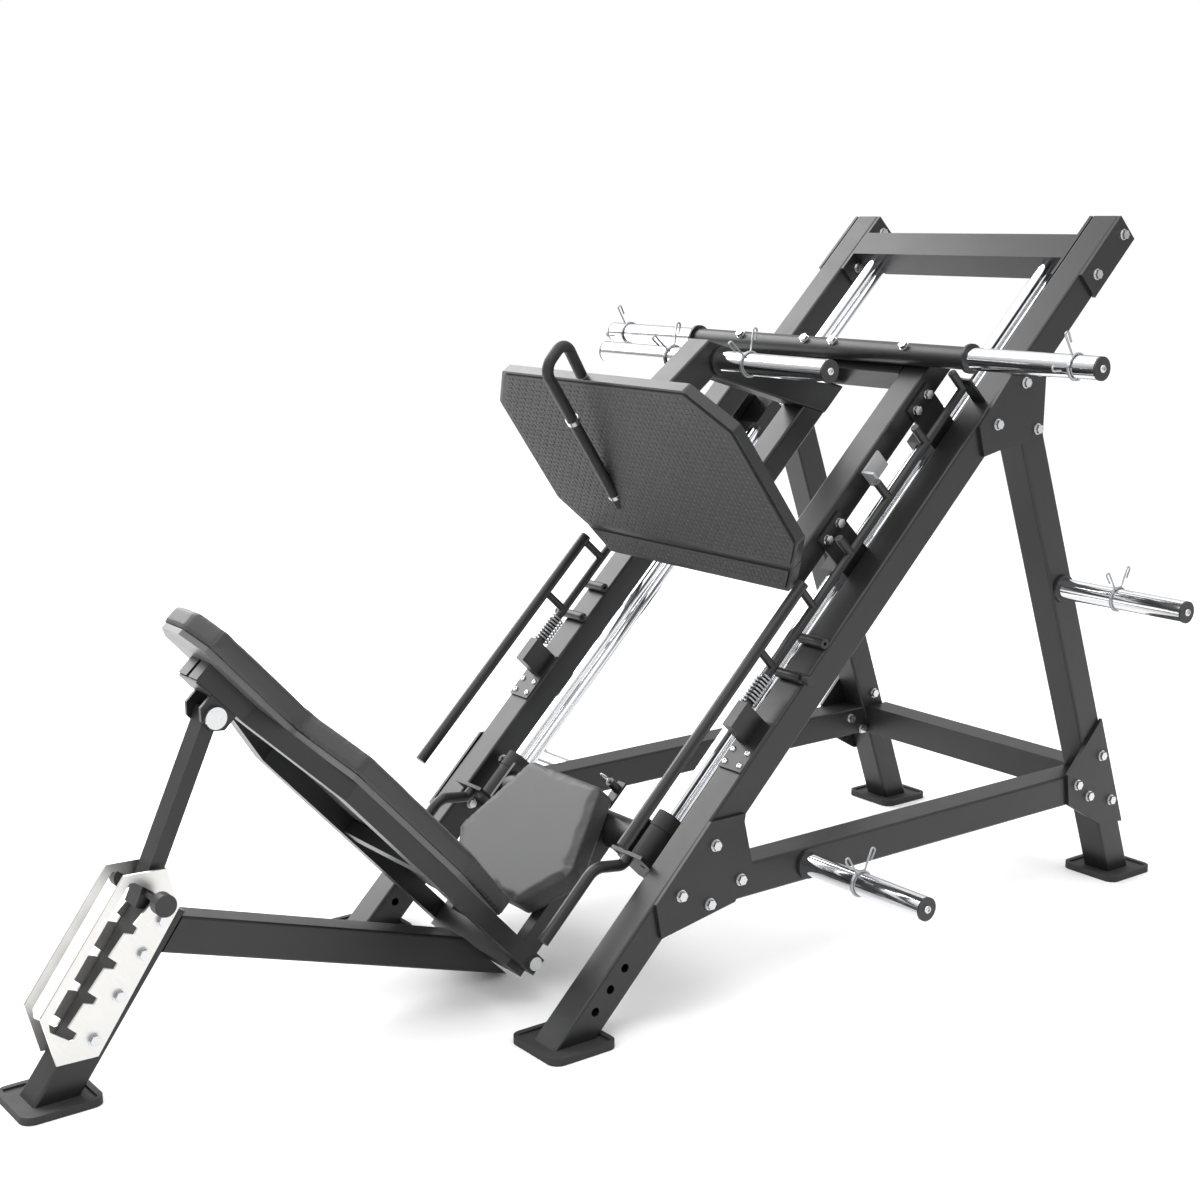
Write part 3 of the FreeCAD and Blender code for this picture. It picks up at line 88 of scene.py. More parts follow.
def add(tree, kind, settings=None, links=None):
    """A node with its settings and links. Inputs are set or linked by name or number."""
    item = tree.nodes.new(kind)
    for key, value in (settings or {}).items():
        if isinstance(key, int) or (isinstance(key, str) and key in item.inputs):
            item.inputs[key].default_value = value
        else:
            setattr(item, key, value)
    for key, source in (links or {}).items():
        tree.links.new(source, item.inputs[key])
    return item


def new_material(name):
    material = bpy.data.materials.new(name)
    material.use_nodes = True
    material.node_tree.nodes.clear()
    return material, material.node_tree


def surface(tree, **settings):
    """The material's shader, wired to its output."""
    shader = add(tree, "ShaderNodeBsdfPrincipled", settings)
    add(tree, "ShaderNodeOutputMaterial", None, {"Surface": shader.outputs["BSDF"]})
    return shader


def noise(tree, coordinates, size, detail=3.0, roughness=0.55):
    """Noise whose grains are about size metres across."""
    return add(tree, "ShaderNodeTexNoise",
               {"Scale": 1 / size, "Detail": detail, "Roughness": roughness}, {"Vector": coordinates})


def spread(tree, value, low, high):
    """A 0 to 1 value stretched to low to high."""
    return add(tree, "ShaderNodeMapRange", {"To Min": low, "To Max": high}, {"Value": value}).outputs["Result"]


def tint(tree, value, dark, light):
    """A colour between dark and light, by a 0 to 1 value."""
    mix = add(tree, "ShaderNodeMix", {"data_type": "RGBA"}, {"Factor": value})
    ends = [socket for socket in mix.inputs if socket.type == "RGBA"]
    ends[0].default_value = dark
    ends[1].default_value = light
    return [socket for socket in mix.outputs if socket.type == "RGBA"][0]


def bump(tree, shader, height, distance, strength):
    relief = add(tree, "ShaderNodeBump", {"Distance": distance, "Strength": strength}, {"Height": height})
    tree.links.new(relief.outputs["Normal"], shader.inputs["Normal"])


def object_coordinates(tree):
    return add(tree, "ShaderNodeTexCoord").outputs["Object"]


def drifting(name, settings, tone, rough, colours=None):
    """A material whose roughness, and colour if given two, drift with a noise of tone (size, detail, roughness).

    Gives the material, its tree, its coordinates, its shader and the noise's value.
    """
    material, tree = new_material(name)
    where = object_coordinates(tree)
    shader = surface(tree, **settings)
    value = noise(tree, where, *tone).outputs["Fac"]
    tree.links.new(spread(tree, value, *rough), shader.inputs["Roughness"])
    if colours:
        tree.links.new(tint(tree, value, *colours), shader.inputs["Base Color"])
    return material, tree, where, shader, value


def skinned(name, settings, tone, rough, skin, relief, colours=None):
    """A drifting material with a finer noise, skin (size, detail), as relief (distance, strength)."""
    material, tree, where, shader, value = drifting(name, settings, tone, rough, colours)
    bump(tree, shader, noise(tree, where, *skin).outputs["Fac"], *relief)
    return material


def celled(name, settings, tone, rough, cells, relief, colours):
    """A drifting material with fine cells (per metre) as relief (distance, strength)."""
    material, tree, where, shader, value = drifting(name, settings, tone, rough, colours)
    pattern = add(tree, "ShaderNodeTexVoronoi", {"Scale": cells}, {"Vector": where})
    bump(tree, shader, pattern.outputs["Distance"], *relief)
    return material


def powder_coat(dark, light):
    """Polyester powder coat, sprayed and baked: satin black with a fine orange-peel ripple."""
    material, tree, where, shader, value = drifting(
        "satin_black_powder_coat", {"Roughness": 0.36, "IOR": 1.46}, (0.06, 4.0), (0.3, 0.42))
    cloud = noise(tree, where, 0.35, 2.0)
    tree.links.new(tint(tree, cloud.outputs["Fac"], dark, light), shader.inputs["Base Color"])
    # Real orange peel is about 1.5 mm across; drawn at 2.2 mm so that it shows.
    peel = noise(tree, where, 0.0022, 2.0)
    bump(tree, shader, peel.outputs["Fac"], 0.00012, 0.5)
    return material


def chrome_plate(colour):
    """Bright chromium plate on polished steel: mirror-like, with faint polishing marks along it."""
    return skinned("bright_chrome_plate", {"Base Color": colour, "Metallic": 1.0, "Roughness": 0.07},
                   (0.05, 5.0), (0.04, 0.12), (0.0009, 2.0), (0.00002, 0.2))


def zinc_plate(colour):
    """Bright zinc on pressed bolts and washers: greyer and softer than chrome."""
    material, tree, where, shader, spots = drifting(
        "bright_zinc_fasteners", {"Base Color": colour, "Metallic": 1.0, "Roughness": 0.25},
        (0.006, 4.0), (0.16, 0.34))
    bump(tree, shader, spots, 0.00005, 0.3)
    return material


def spring_wire(colour):
    """Drawn spring wire with a dull nickel flash: mid grey metal, brighter along its crest."""
    material, tree, where, shader, drawn = drifting(
        "nickel_flashed_spring_wire", {"Base Color": colour, "Metallic": 1.0, "Roughness": 0.3},
        (0.003, 4.0), (0.2, 0.4))
    bump(tree, shader, drawn, 0.00004, 0.4)
    return material


def studs_painted_highlight(*colours):
    """Tops of the tread's studs: the same rubber, painted paler than the tread as a painted highlight where light
    catches their raised tops.
    """
    return skinned("rubber_studs_painted_highlight", {"Roughness": 0.55, "IOR": 1.5},
                   (0.03, 5.0, 0.6), (0.45, 0.65), (0.001, 3.0), (0.00008, 0.5), colours)


def brushed_stainless(dark, light):
    """Stainless sheet brushed along its length: pale grey with fine streaks that run one way."""
    material, tree = new_material("brushed_stainless_sheet")
    where = object_coordinates(tree)
    # Streaks run along the ladder: the grain is stretched forty times that way.
    turned = add(tree, "ShaderNodeMapping", {"Rotation": (0, math.radians(36), 0)}, {"Vector": where})
    long = add(tree, "ShaderNodeMapping", {"Scale": (40, 40, 1)}, {"Vector": turned.outputs["Vector"]})
    grain = noise(tree, long.outputs["Vector"], 0.06, 6.0, 0.7)
    shader = surface(tree, **{"Metallic": 1.0, "Roughness": 0.32})
    tree.links.new(tint(tree, grain.outputs["Fac"], dark, light), shader.inputs["Base Color"])
    tree.links.new(spread(tree, grain.outputs["Fac"], 0.24, 0.46), shader.inputs["Roughness"])
    bump(tree, shader, grain.outputs["Fac"], 0.00004, 0.4)
    return material


def moulded_rubber(*colours):
    """Compression-moulded rubber: dull black with a matt, faintly pitted skin."""
    return skinned("moulded_black_rubber", {"Roughness": 0.72, "IOR": 1.52},
                   (0.04, 4.0), (0.62, 0.8), (0.0014, 3.0), (0.0001, 0.6), colours)


def moulded_nylon(*colours):
    """Injection-moulded nylon with a spark-eroded texture: black, even and slightly soft."""
    return celled("textured_black_nylon", {"Roughness": 0.5, "IOR": 1.53},
                  (0.03, 3.0), (0.42, 0.58), 900.0, (0.00006, 0.5), colours)


def grip_foam(*colours):
    """Closed-cell grip foam with a sealed skin: black, soft-edged highlights, tiny cells."""
    return celled("closed_cell_grip_foam", {"Roughness": 0.55, "IOR": 1.45},
                  (0.02, 3.0), (0.46, 0.64), 700.0, (0.00012, 0.5), colours)


def vinyl_cover(dark, light):
    """Embossed upholstery vinyl: charcoal with a pebble grain, creases and a low sheen."""
    material, tree = new_material("embossed_black_vinyl")
    where = object_coordinates(tree)
    shader = surface(tree, **{"Roughness": 0.46, "IOR": 1.5, "Sheen Weight": 0.08})
    tone = noise(tree, where, 0.16, 3.0)
    tree.links.new(tint(tree, tone.outputs["Fac"], dark, light), shader.inputs["Base Color"])
    warp = noise(tree, where, 0.004, 2.0)
    bent = add(tree, "ShaderNodeMix", {"data_type": "VECTOR", 0: 0.0008})
    vectors = [socket for socket in bent.inputs if socket.type == "VECTOR"]
    tree.links.new(where, vectors[0])
    tree.links.new(warp.outputs["Color"], vectors[1])
    twisted = [socket for socket in bent.outputs if socket.type == "VECTOR"][0]
    # Pebbles 1.6 mm across, with fine pores between them.
    pebble = add(tree, "ShaderNodeTexVoronoi", {"Scale": 620.0, "feature": "F1"}, {"Vector": twisted})
    pores = noise(tree, where, 0.0006, 2.0)
    relief = add(tree, "ShaderNodeMath", {"operation": "MULTIPLY_ADD", 1: 0.35},
                 {0: pores.outputs["Fac"], 2: pebble.outputs["Distance"]})
    tree.links.new(spread(tree, pebble.outputs["Distance"], 0.38, 0.58), shader.inputs["Roughness"])
    bump(tree, shader, relief.outputs["Value"], 0.00016, 0.45)
    return material


def tread_rubber(*colours):
    """Rubber floor tread: mid charcoal, scuffed lighter in patches, with a dry matt skin."""
    return skinned("studded_tread_rubber", {"Roughness": 0.62, "IOR": 1.5},
                   (0.12, 6.0, 0.65), (0.5, 0.74), (0.0015, 3.0), (0.00014, 0.6), colours)


def laminated_board(*colours):
    """Laminated backing board: black film over plywood, with a faint pressed weave and some gloss."""
    material, tree, where, shader, value = drifting(
        "black_laminated_board", {"Roughness": 0.38, "IOR": 1.5}, (0.08, 4.0), (0.32, 0.44), colours)
    weave = add(tree, "ShaderNodeTexWave", {"Scale": 300.0, "Distortion": 1.0}, {"Vector": where})
    bump(tree, shader, weave.outputs["Fac"], 0.00005, 0.3)
    return material


def grey_enamel(*colours):
    """Baked enamel on bent steel plate: light grey, smooth, a little gloss."""
    return skinned("light_grey_enamel", {"Roughness": 0.38, "IOR": 1.5},
                   (0.05, 3.0), (0.3, 0.45), (0.002, 2.0), (0.0001, 0.4), colours)


def stitch_thread(dark, light):
    """Bonded polyester thread: black, twisted, slightly glossy."""
    material, tree = new_material("bonded_black_thread")
    where = object_coordinates(tree)
    shader = surface(tree, **{"Roughness": 0.5, "Sheen Weight": 0.2})
    twist = add(tree, "ShaderNodeTexWave", {"Scale": 900.0, "Distortion": 0.5}, {"Vector": where})
    tree.links.new(tint(tree, twist.outputs["Fac"], dark, light), shader.inputs["Base Color"])
    bump(tree, shader, twist.outputs["Fac"], 0.0001, 0.5)
    return material


MATERIALS = {}

# Which finish each CAD node wears.
FINISHES = {
    "powder": ["rail_left", "rail_right", "rear_leg_left", "rear_leg_right", "base_rail_left",
               "base_rail_right", "gussets_left", "gussets_right", "top_crossbar", "rear_crossbar",
               "front_post", "front_beam", "rod_bracket_left", "rod_bracket_right", "cross_tube",
               "seat_frame", "safety_mount_left", "safety_mount_right", "sled_arm_upper",
               "sled_arm_lower", "sled_spine", "sled_side_tube_left", "sled_side_tube_right",
               "sled_cross_tube", "foot_plate", "weight_pipe", "bearing_housing_left",
               "bearing_housing_right", "safety_lever_left", "safety_lever_right", "backrest_frame",
               "backrest_strut", "hand_grip_left", "hand_grip_right"],
    "chrome": ["guide_rods", "storage_horns", "weight_horns"],
    "zinc": ["frame_bolts", "sled_bolts", "pivot_bolts", "strut_hinge_bolt", "seat_pop_pin"],
    "stainless": ["ladder_plate_left", "ladder_plate_right"],
    "rubber": ["feet", "rod_bumpers"],
    "nylon": ["storage_horn_trim", "sled_horn_trim", "strut_pin", "pull_pin_left", "pull_pin_right"],
    "foam": ["hook_handle"],
    "tread": ["foot_plate_tread"],
    "board": ["backrest_board"],
    "enamel": ["catch_plates"],
}


# ------------------------------------------------------------------ mesh helpers

def show(mesh, name, body, material=None, smooth=True):
    """A finished piece at the origin, riding on its body."""
    piece = bpy.data.objects.new(name, mesh)
    bpy.context.scene.collection.objects.link(piece)
    if material:
        mesh.materials.clear()
        mesh.materials.append(material)
    if smooth:
        mesh.shade_smooth()
    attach(piece, body)
    return piece


def flattened(holder, name):
    """A plain mesh of the object with its modifiers, which are then removed with the object."""
    graph = bpy.context.evaluated_depsgraph_get()
    mesh = bpy.data.meshes.new_from_object(holder.evaluated_get(graph))
    mesh.name = name
    bpy.data.objects.remove(holder, do_unlink=True)
    return mesh


def seed_points(name, spots):
    """A holder whose vertices carry a turn for each copy: spots are (place, rotation matrix)."""
    mesh = bpy.data.meshes.new(name)
    mesh.from_pydata([tuple(place) for place, turn in spots], [], [])
    turns = mesh.attributes.new("turn", "FLOAT_VECTOR", "POINT")
    for index, (place, turn) in enumerate(spots):
        turns.data[index].vector = turn.to_euler()
    holder = bpy.data.objects.new(name, mesh)
    bpy.context.scene.collection.objects.link(holder)
    return holder


def facing(outward, along):
    """Turn that sends +Z to outward and +X to along."""
    z = outward.normalized()
    x = (along - z * along.dot(z)).normalized()
    return Matrix((x, z.cross(x), z)).transposed()


def new_tree(name, inputs):
    """A geometry tree with named sizes. inputs is {name: default in metres}."""
    tree = bpy.data.node_groups.new(name, "GeometryNodeTree")
    tree.interface.new_socket("Geometry", in_out="INPUT", socket_type="NodeSocketGeometry")
    for label, number in inputs.items():
        kind = "NodeSocketInt" if isinstance(number, int) else "NodeSocketFloat"
        socket = tree.interface.new_socket(label, in_out="INPUT", socket_type=kind)
        socket.default_value = number
    tree.interface.new_socket("Geometry", in_out="OUTPUT", socket_type="NodeSocketGeometry")
    return tree, tree.nodes.new("NodeGroupInput"), tree.nodes.new("NodeGroupOutput")


def copies_on_points(tree, start, end, shape, material):
    """Puts the shape on every point with the point's turn, as plain faces."""
    turn = add(tree, "GeometryNodeInputNamedAttribute", {"data_type": "FLOAT_VECTOR", "Name": "turn"})
    rotation = add(tree, "FunctionNodeEulerToRotation", None, {0: turn.outputs["Attribute"]})
    placed = add(tree, "GeometryNodeInstanceOnPoints", None,
                 {"Points": start.outputs["Geometry"], "Instance": shape,
                  "Rotation": rotation.outputs["Rotation"]})
    real = add(tree, "GeometryNodeRealizeInstances", None, {"Geometry": placed.outputs["Instances"]})
    painted = add(tree, "GeometryNodeSetMaterial", {"Material": material}, {"Geometry": real.outputs["Geometry"]})
    tree.links.new(painted.outputs["Geometry"], end.inputs["Geometry"])


def grow(holder, tree, sizes, name):
    """Runs the tree on the holder with these sizes and returns the plain mesh."""
    modifier = holder.modifiers.new(tree.name, "NODES")
    modifier.node_group = tree
    for item in tree.interface.items_tree:
        if item.in_out == "INPUT" and item.name in sizes:
            modifier[item.identifier] = sizes[item.name]
    return flattened(holder, name)


# ------------------------------------------------------------------ upholstery

STUFFING_PRESSURE = 4
STUFFING_FRAMES = 20
STITCH_LIFT = 0.0035


def closed_copy(node):
    """A copy of a CAD node's mesh with its doubles merged."""
    mesh = NODES[node].data.copy()
    work = bmesh.new()
    work.from_mesh(mesh)
    bmesh.ops.remove_doubles(work, verts=work.verts, dist=0.00001)
    work.to_mesh(mesh)
    work.free()
    mesh.materials.clear()
    return mesh


def hold(mesh, name):
    holder = bpy.data.objects.new(name, mesh)
    bpy.context.scene.collection.objects.link(holder)
    return holder


def puffed(node, out, voxel, swell):
    """The pad's block, shrunk a little, remeshed and blown up like stuffed vinyl; flat where it rests."""
    mesh = closed_copy(node)
    levels = [vertex.co.dot(out) for vertex in mesh.vertices]
    base, top = min(levels), max(levels)
    centre = sum((vertex.co for vertex in mesh.vertices), Vector()) / len(mesh.vertices)
    for vertex in mesh.vertices:
        across = vertex.co - centre
        across -= out * across.dot(out)
        vertex.co -= across.normalized() * 0.002
        if vertex.co.dot(out) > (base + top) / 2:
            vertex.co -= out * 0.003
    holder = hold(mesh, node + "_blank")
    remesh = holder.modifiers.new("Remesh", "REMESH")
    remesh.mode = "VOXEL"
    remesh.voxel_size = voxel
    mesh = flattened(holder, node + "_blank")
    before = [vertex.co.copy() for vertex in mesh.vertices]
    holder = hold(mesh, node + "_cloth")
    cloth = holder.modifiers.new("Cloth", "CLOTH")
    cloth.settings.use_pressure = True
    cloth.settings.uniform_pressure_force = STUFFING_PRESSURE
    cloth.settings.effector_weights.gravity = 0
    cloth.point_cache.frame_start = 1
    cloth.point_cache.frame_end = STUFFING_FRAMES
    for number in range(1, STUFFING_FRAMES + 1):
        bpy.context.scene.frame_set(number)
    mesh = flattened(holder, node + "_cloth")
    bpy.context.scene.frame_set(1)
    for vertex, start in zip(mesh.vertices, before):
        shift = vertex.co - start
        if shift.length > swell:
            shift *= swell / shift.length
        place = start + shift
        level = place.dot(out)
        place += out * (min(max(level, base), top + 0.002) - level)
        vertex.co = place
    holder = hold(mesh, node + "_fine")
    smooth = holder.modifiers.new("Smooth", "SMOOTH")
    smooth.iterations = 2
    finer = holder.modifiers.new("Subdivision", "SUBSURF")
    finer.levels = 1
    finer.render_levels = 1
    return flattened(holder, node + "_cover"), base, top


def press_seams(mesh, out, along, origin, corners, seam_level, depth):
    """Pulls the cover in along the boxing's seams: one round the base, one at each corner."""
    work = bmesh.new()
    work.from_mesh(mesh)
    work.normal_update()
    shifts = []
    for vertex in work.verts:
        away = vertex.co - origin
        steep = 1 - abs(vertex.normal.dot(out))
        pull = math.exp(-((vertex.co.dot(out) - seam_level) / 0.0018) ** 2)
        spot = Vector((away.dot(along), vertex.co.y))
        for corner, ray in corners:
            gap = spot - corner
            if gap.length < 0.025:
                pull = max(pull, math.exp(-((gap.x * ray.y - gap.y * ray.x) / 0.002) ** 2))
        shifts.append(-vertex.normal * (pull * depth * min(1.0, steep * 1.4)))
    for vertex, shift in zip(work.verts, shifts):
        vertex.co += shift
    work.to_mesh(mesh)
    work.free()


def corner_rays(plan):
    """Corners of a mirrored half plan (along, half width) in metres, each with its outward bisector."""
    loop = [Vector((a / 1000, w / 1000)) for a, w in plan]
    loop += [Vector((spot.x, -spot.y)) for spot in reversed(loop)]
    rays = []
    for index, spot in enumerate(loop):
        ahead = (loop[(index + 1) % len(loop)] - spot).normalized()
        back = (loop[index - 1] - spot).normalized()
        ray = ahead + back
        rays.append((spot, ray.normalized() if ray.length > 0.001 else Vector((0, 1))))
    return rays


def outline_spots(plan, pitch):
    """Evenly spaced spots and directions round a mirrored half plan, in metres."""
    loop = [spot for spot, ray in corner_rays(plan)]
    spots = []
    for index, start in enumerate(loop):
        end = loop[(index + 1) % len(loop)]
        count = max(1, round((end - start).length / pitch))
        for step in range(count):
            spots.append((start.lerp(end, (step + 0.5) / count), (end - start).normalized()))
    return spots


def lens_tree(name, labels, segments, material):
    """A small oval lens on each point. Labels name the inputs for its length, width and height."""
    tree, start, end = new_tree(name, dict.fromkeys(labels, 0.001))
    lens = add(tree, "GeometryNodeMeshUVSphere", {"Segments": segments, "Rings": 4, "Radius": 0.5})
    size = add(tree, "ShaderNodeCombineXYZ", None,
               {axis: start.outputs[label] for axis, label in zip("XYZ", labels)})
    shaped = add(tree, "GeometryNodeTransform", None, {"Geometry": lens.outputs["Mesh"], "Scale": size.outputs[0]})
    copies_on_points(tree, start, end, shaped.outputs["Geometry"], material)
    return tree


def sew(mesh, name, out, along, origin, plan, level, body, sizes):
    """A row of stitches on the cover, just above its base seam."""
    cover = hold(mesh.copy(), name + "_guide")
    bpy.context.view_layer.update()
    spots = []
    for spot, heading in outline_spots(plan, sizes.stitch_pitch):
        guess = origin + along * spot.x + ACROSS * spot.y
        guess += out * (level - guess.dot(out))
        found, place, normal, face = cover.closest_point_on_mesh(guess)
        if found:
            line = along * heading.x + ACROSS * heading.y
            spots.append((place, facing(normal, line)))
    bpy.data.objects.remove(cover, do_unlink=True)
    tree = lens_tree("seam_stitches", ("Stitch Length", "Thread Width", "Thread Width"), 6, MATERIALS["thread"])
    stitches = grow(seed_points(name, spots), tree,
                    {"Stitch Length": sizes.stitch_length, "Thread Width": sizes.thread_width}, name)
    return show(stitches, name, body)


# ------------------------------------------------------------------ small hardware shapes

def ringed(rings, name):
    """A closed mesh from rings of 24 points: (radius, height, sides), sides 0 for round."""
    count = 24
    points = []
    for radius, height, sides in rings:
        for step in range(count):
            turn = 2 * math.pi * step / count
            reach = radius
            if sides:
                sector = 2 * math.pi / sides
                reach = radius * math.cos(sector / 2) / math.cos((turn % sector) - sector / 2)
            points.append((reach * math.cos(turn), reach * math.sin(turn), height))
    faces = []
    for ring in range(len(rings) - 1):
        low, high = ring * count, (ring + 1) * count
        for step in range(count):
            after = (step + 1) % count
            faces.append((low + step, low + after, high + after, high + step))
    last = (len(rings) - 1) * count
    faces.append(tuple(reversed(range(count))))
    faces.append(tuple(range(last, last + count)))
    mesh = bpy.data.meshes.new(name)
    mesh.from_pydata(points, [], faces)
    return mesh


def button_screw(name):
    """Button-head screw with a hexagon socket, one metre across, to be scaled."""
    return ringed([(0.5, 0.0, 0), (0.5, 0.08, 0), (0.46, 0.17, 0), (0.38, 0.24, 0), (0.29, 0.27, 0),
                   (0.27, 0.27, 6), (0.25, 0.25, 6), (0.24, 0.1, 6)], name)


def peg_plug(name):
    """Domed plug with a pinhole, one metre across, to be scaled."""
    return ringed([(0.5, -0.05, 0), (0.5, 0.03, 0), (0.47, 0.07, 0), (0.4, 0.09, 0), (0.1, 0.1, 0),
                   (0.07, 0.09, 0), (0.06, 0.0, 0)], name)


def scattered(shape_mesh, size_name, size, spots, name, material):
    """Copies of one small shape on the given spots, through a geometry tree, as one mesh."""
    shape = hold(shape_mesh, name + "_shape")
    tree, start, end = new_tree(name, {size_name: size})
    source = add(tree, "GeometryNodeObjectInfo", {"Object": shape})
    scaled = add(tree, "GeometryNodeTransform", None, {"Geometry": source.outputs["Geometry"],
                                                       "Scale": start.outputs[size_name]})
    copies_on_points(tree, start, end, scaled.outputs["Geometry"], material)
    mesh = grow(seed_points(name, spots), tree, {size_name: size}, name)
    bpy.data.objects.remove(shape, do_unlink=True)
    return mesh


def collar_path(ring):
    """Centre line of a wire collar round +Z: hairpin grip, two coils, hairpin grip."""
    half_pitch = 0.0024
    waist, reach, hook = 0.02, 0.047, 0.0055
    grip_angles = math.radians(62), math.radians(118)
    grips = []
    for turn, level, side in zip(grip_angles, (-half_pitch, half_pitch), (-1, 1)):
        out = Vector((math.cos(turn), math.sin(turn), 0))
        aside = Vector((-out.y, out.x, 0)) * side
        rise = Vector((0, 0, level))
        grip = [out * (ring + 0.026) + aside * 0.009 + rise, out * (ring + reach) + aside * 0.0105 + rise]
        for step in range(1, 8):
            sweep = math.pi * step / 8
            grip.append(out * (ring + reach + hook * math.sin(sweep))
                        + aside * (0.005 + hook * math.cos(sweep)) + rise)
        grip.append(out * (ring + waist) + rise)
        grip.append(out * (ring + 0.003) + rise)
        grips.append(grip)
    steps, coils, bend = 60, 2, math.radians(8)
    first_turn = grip_angles[0] + bend
    last_turn = grip_angles[1] + 2 * math.pi * coils - bend
    wound = []
    for step in range(steps + 1):
        share = step / steps
        turn = first_turn + (last_turn - first_turn) * share
        wound.append(Vector((ring * math.cos(turn), ring * math.sin(turn),
                             -half_pitch + 2 * half_pitch * share)))
    return grips[0] + wound + grips[1][::-1]


def sweep_wire(tree, start, end, curve, sides, material):
    """Round wire of the tree's radius along the curve, on each point."""
    profile = add(tree, "GeometryNodeCurvePrimitiveCircle", {"Resolution": sides},
                  {"Radius": start.outputs["Wire Radius"]})
    swept = add(tree, "GeometryNodeCurveToMesh", {"Fill Caps": True},
                {"Curve": curve, "Profile Curve": profile.outputs["Curve"]})
    copies_on_points(tree, start, end, swept.outputs["Mesh"], material)
    return tree


def collar_tree(path, material):
    """A wire collar on each point, along the given centre line."""
    tree, start, end = new_tree("wire_collars", {"Wire Radius": 0.0023})
    source = add(tree, "GeometryNodeObjectInfo", {"Object": path})
    line = add(tree, "GeometryNodeMeshToCurve", None, {"Mesh": source.outputs["Geometry"]})
    return sweep_wire(tree, start, end, line.outputs["Curve"], 8, material)


def spring_tree(material):
    """A wound compression spring on each point, along the point's +Z."""
    tree, start, end = new_tree("safety_springs", {"Coil Radius": 0.0165, "Wire Radius": 0.0025,
                                                   "Spring Length": 0.0686, "Turns": 7.0})
    coil = add(tree, "GeometryNodeCurveSpiral", {"Resolution": 28},
               {"Rotations": start.outputs["Turns"], "Start Radius": start.outputs["Coil Radius"],
                "End Radius": start.outputs["Coil Radius"], "Height": start.outputs["Spring Length"]})
    return sweep_wire(tree, start, end, coil.outputs["Curve"], 10, material)


def inside(plan, up, across, margin):
    """True when a spot lies inside a mirrored half plan by at least the margin (millimetres)."""
    loop = [Vector(spot) for spot in plan] + [Vector((a, -w)) for a, w in reversed(plan)]
    spot = Vector((up, across))
    for index, start in enumerate(loop):
        edge = (loop[(index + 1) % len(loop)] - start).normalized()
        gap = (spot - start).dot(Vector((edge.y, -edge.x)))
        if gap < margin:
            return False
    return True


# ------------------------------------------------------------------ the machine's own sizes (mm)

PAD_HEAD = Vector((-0.999, 0, 0.91675))
BACK_PLAN = [(0, 43), (48, 100), (306, 97), (416, 200), (759, 205), (961, 140)]
SEAT_PLAN = [(231, 131), (340, 220), (553, 136)]
TREAD_PLAN = [(0, 365), (79, 426), (379, 417), (475, 323)]
LIP_PLAN = [(-70, 316), (0, 365)]
CREASE = on_rail(1119.3, 0, 153.4)
LIP_ANGLE = math.radians(27.4)
LIP_BACK = Vector((math.cos(LIP_ANGLE), 0, math.sin(LIP_ANGLE)))
LIP_UP = Vector((-math.sin(LIP_ANGLE), 0, math.cos(LIP_ANGLE)))
LEVER_ACROSS = 377
LEVER_HEIGHT = 54
PEG_TOP = LEVER_HEIGHT + 52
PEG_STATIONS = (1245, 1403, 1562, 1723)
PIPE_STATION, PIPE_HEIGHT = 1727.5, 155
MOUNT_SCREW_STATIONS = (714, 746)
MOUNT_SCREWS_ACROSS = (364.5, 410.5)
MOUNT_BASE = 6
SPRING_STATION = 835
HORN_RADIUS = 0.025
HORN_START = 462
BAND_START = 37.5
BAND_HEIGHT = 1.31584
STORAGE_START = 425
# How far out along each horn its wire collar and the screw in its cap sit.
COLLARS = {"end": 283, "band": 95, "storage": 160}
TIPS = {"end": 348, "band": 347, "storage": 348}
# Each collar's lean from upright, about its horn, towards the front.
COLLAR_LEANS = {"end": math.radians(58), "band": math.radians(20), "storage": math.radians(4)}
HORN_BODIES = {"sled": ("end", "band"), "storage": ("storage",)}


def horn_axes(kind):
    """Side-view places (x, z) of a kind of horn, from the horns' own box."""
    if kind == "band":
        return [(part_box("weight_horns")[0][0] + HORN_RADIUS, BAND_HEIGHT)]
    low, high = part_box("storage_horns")
    return [(low[0] + HORN_RADIUS, low[2] + HORN_RADIUS), (high[0] - HORN_RADIUS, high[2] - HORN_RADIUS)]


def horn_points(owner, reach):
    """Points on the axes of an owner's horns, reach millimetres out from their starts: (kind, side, place)."""
    spots = []
    for side in SIDES.values():
        for kind in HORN_BODIES[owner]:
            if kind == "end":
                spots.append((kind, side, on_rail(PIPE_STATION, side * (HORN_START + reach[kind]), PIPE_HEIGHT)))
                continue
            start = BAND_START if kind == "band" else STORAGE_START
            for x, z in horn_axes(kind):
                spots.append((kind, side, Vector((x, side * (start + reach[kind]) / 1000, z))))
    return spots


# ------------------------------------------------------------------ settings

def shade(name, description, hex_colour):
    """A colour setting, given as sRGB hex."""
    return bpy.props.FloatVectorProperty(name=name, description=description, subtype="COLOR", size=4,
                                         min=0.0, max=1.0, default=linear(hex_colour))


def length(name, description, metres):
    """A length setting."""
    return bpy.props.FloatProperty(name=name, description=description, default=metres, unit="LENGTH")


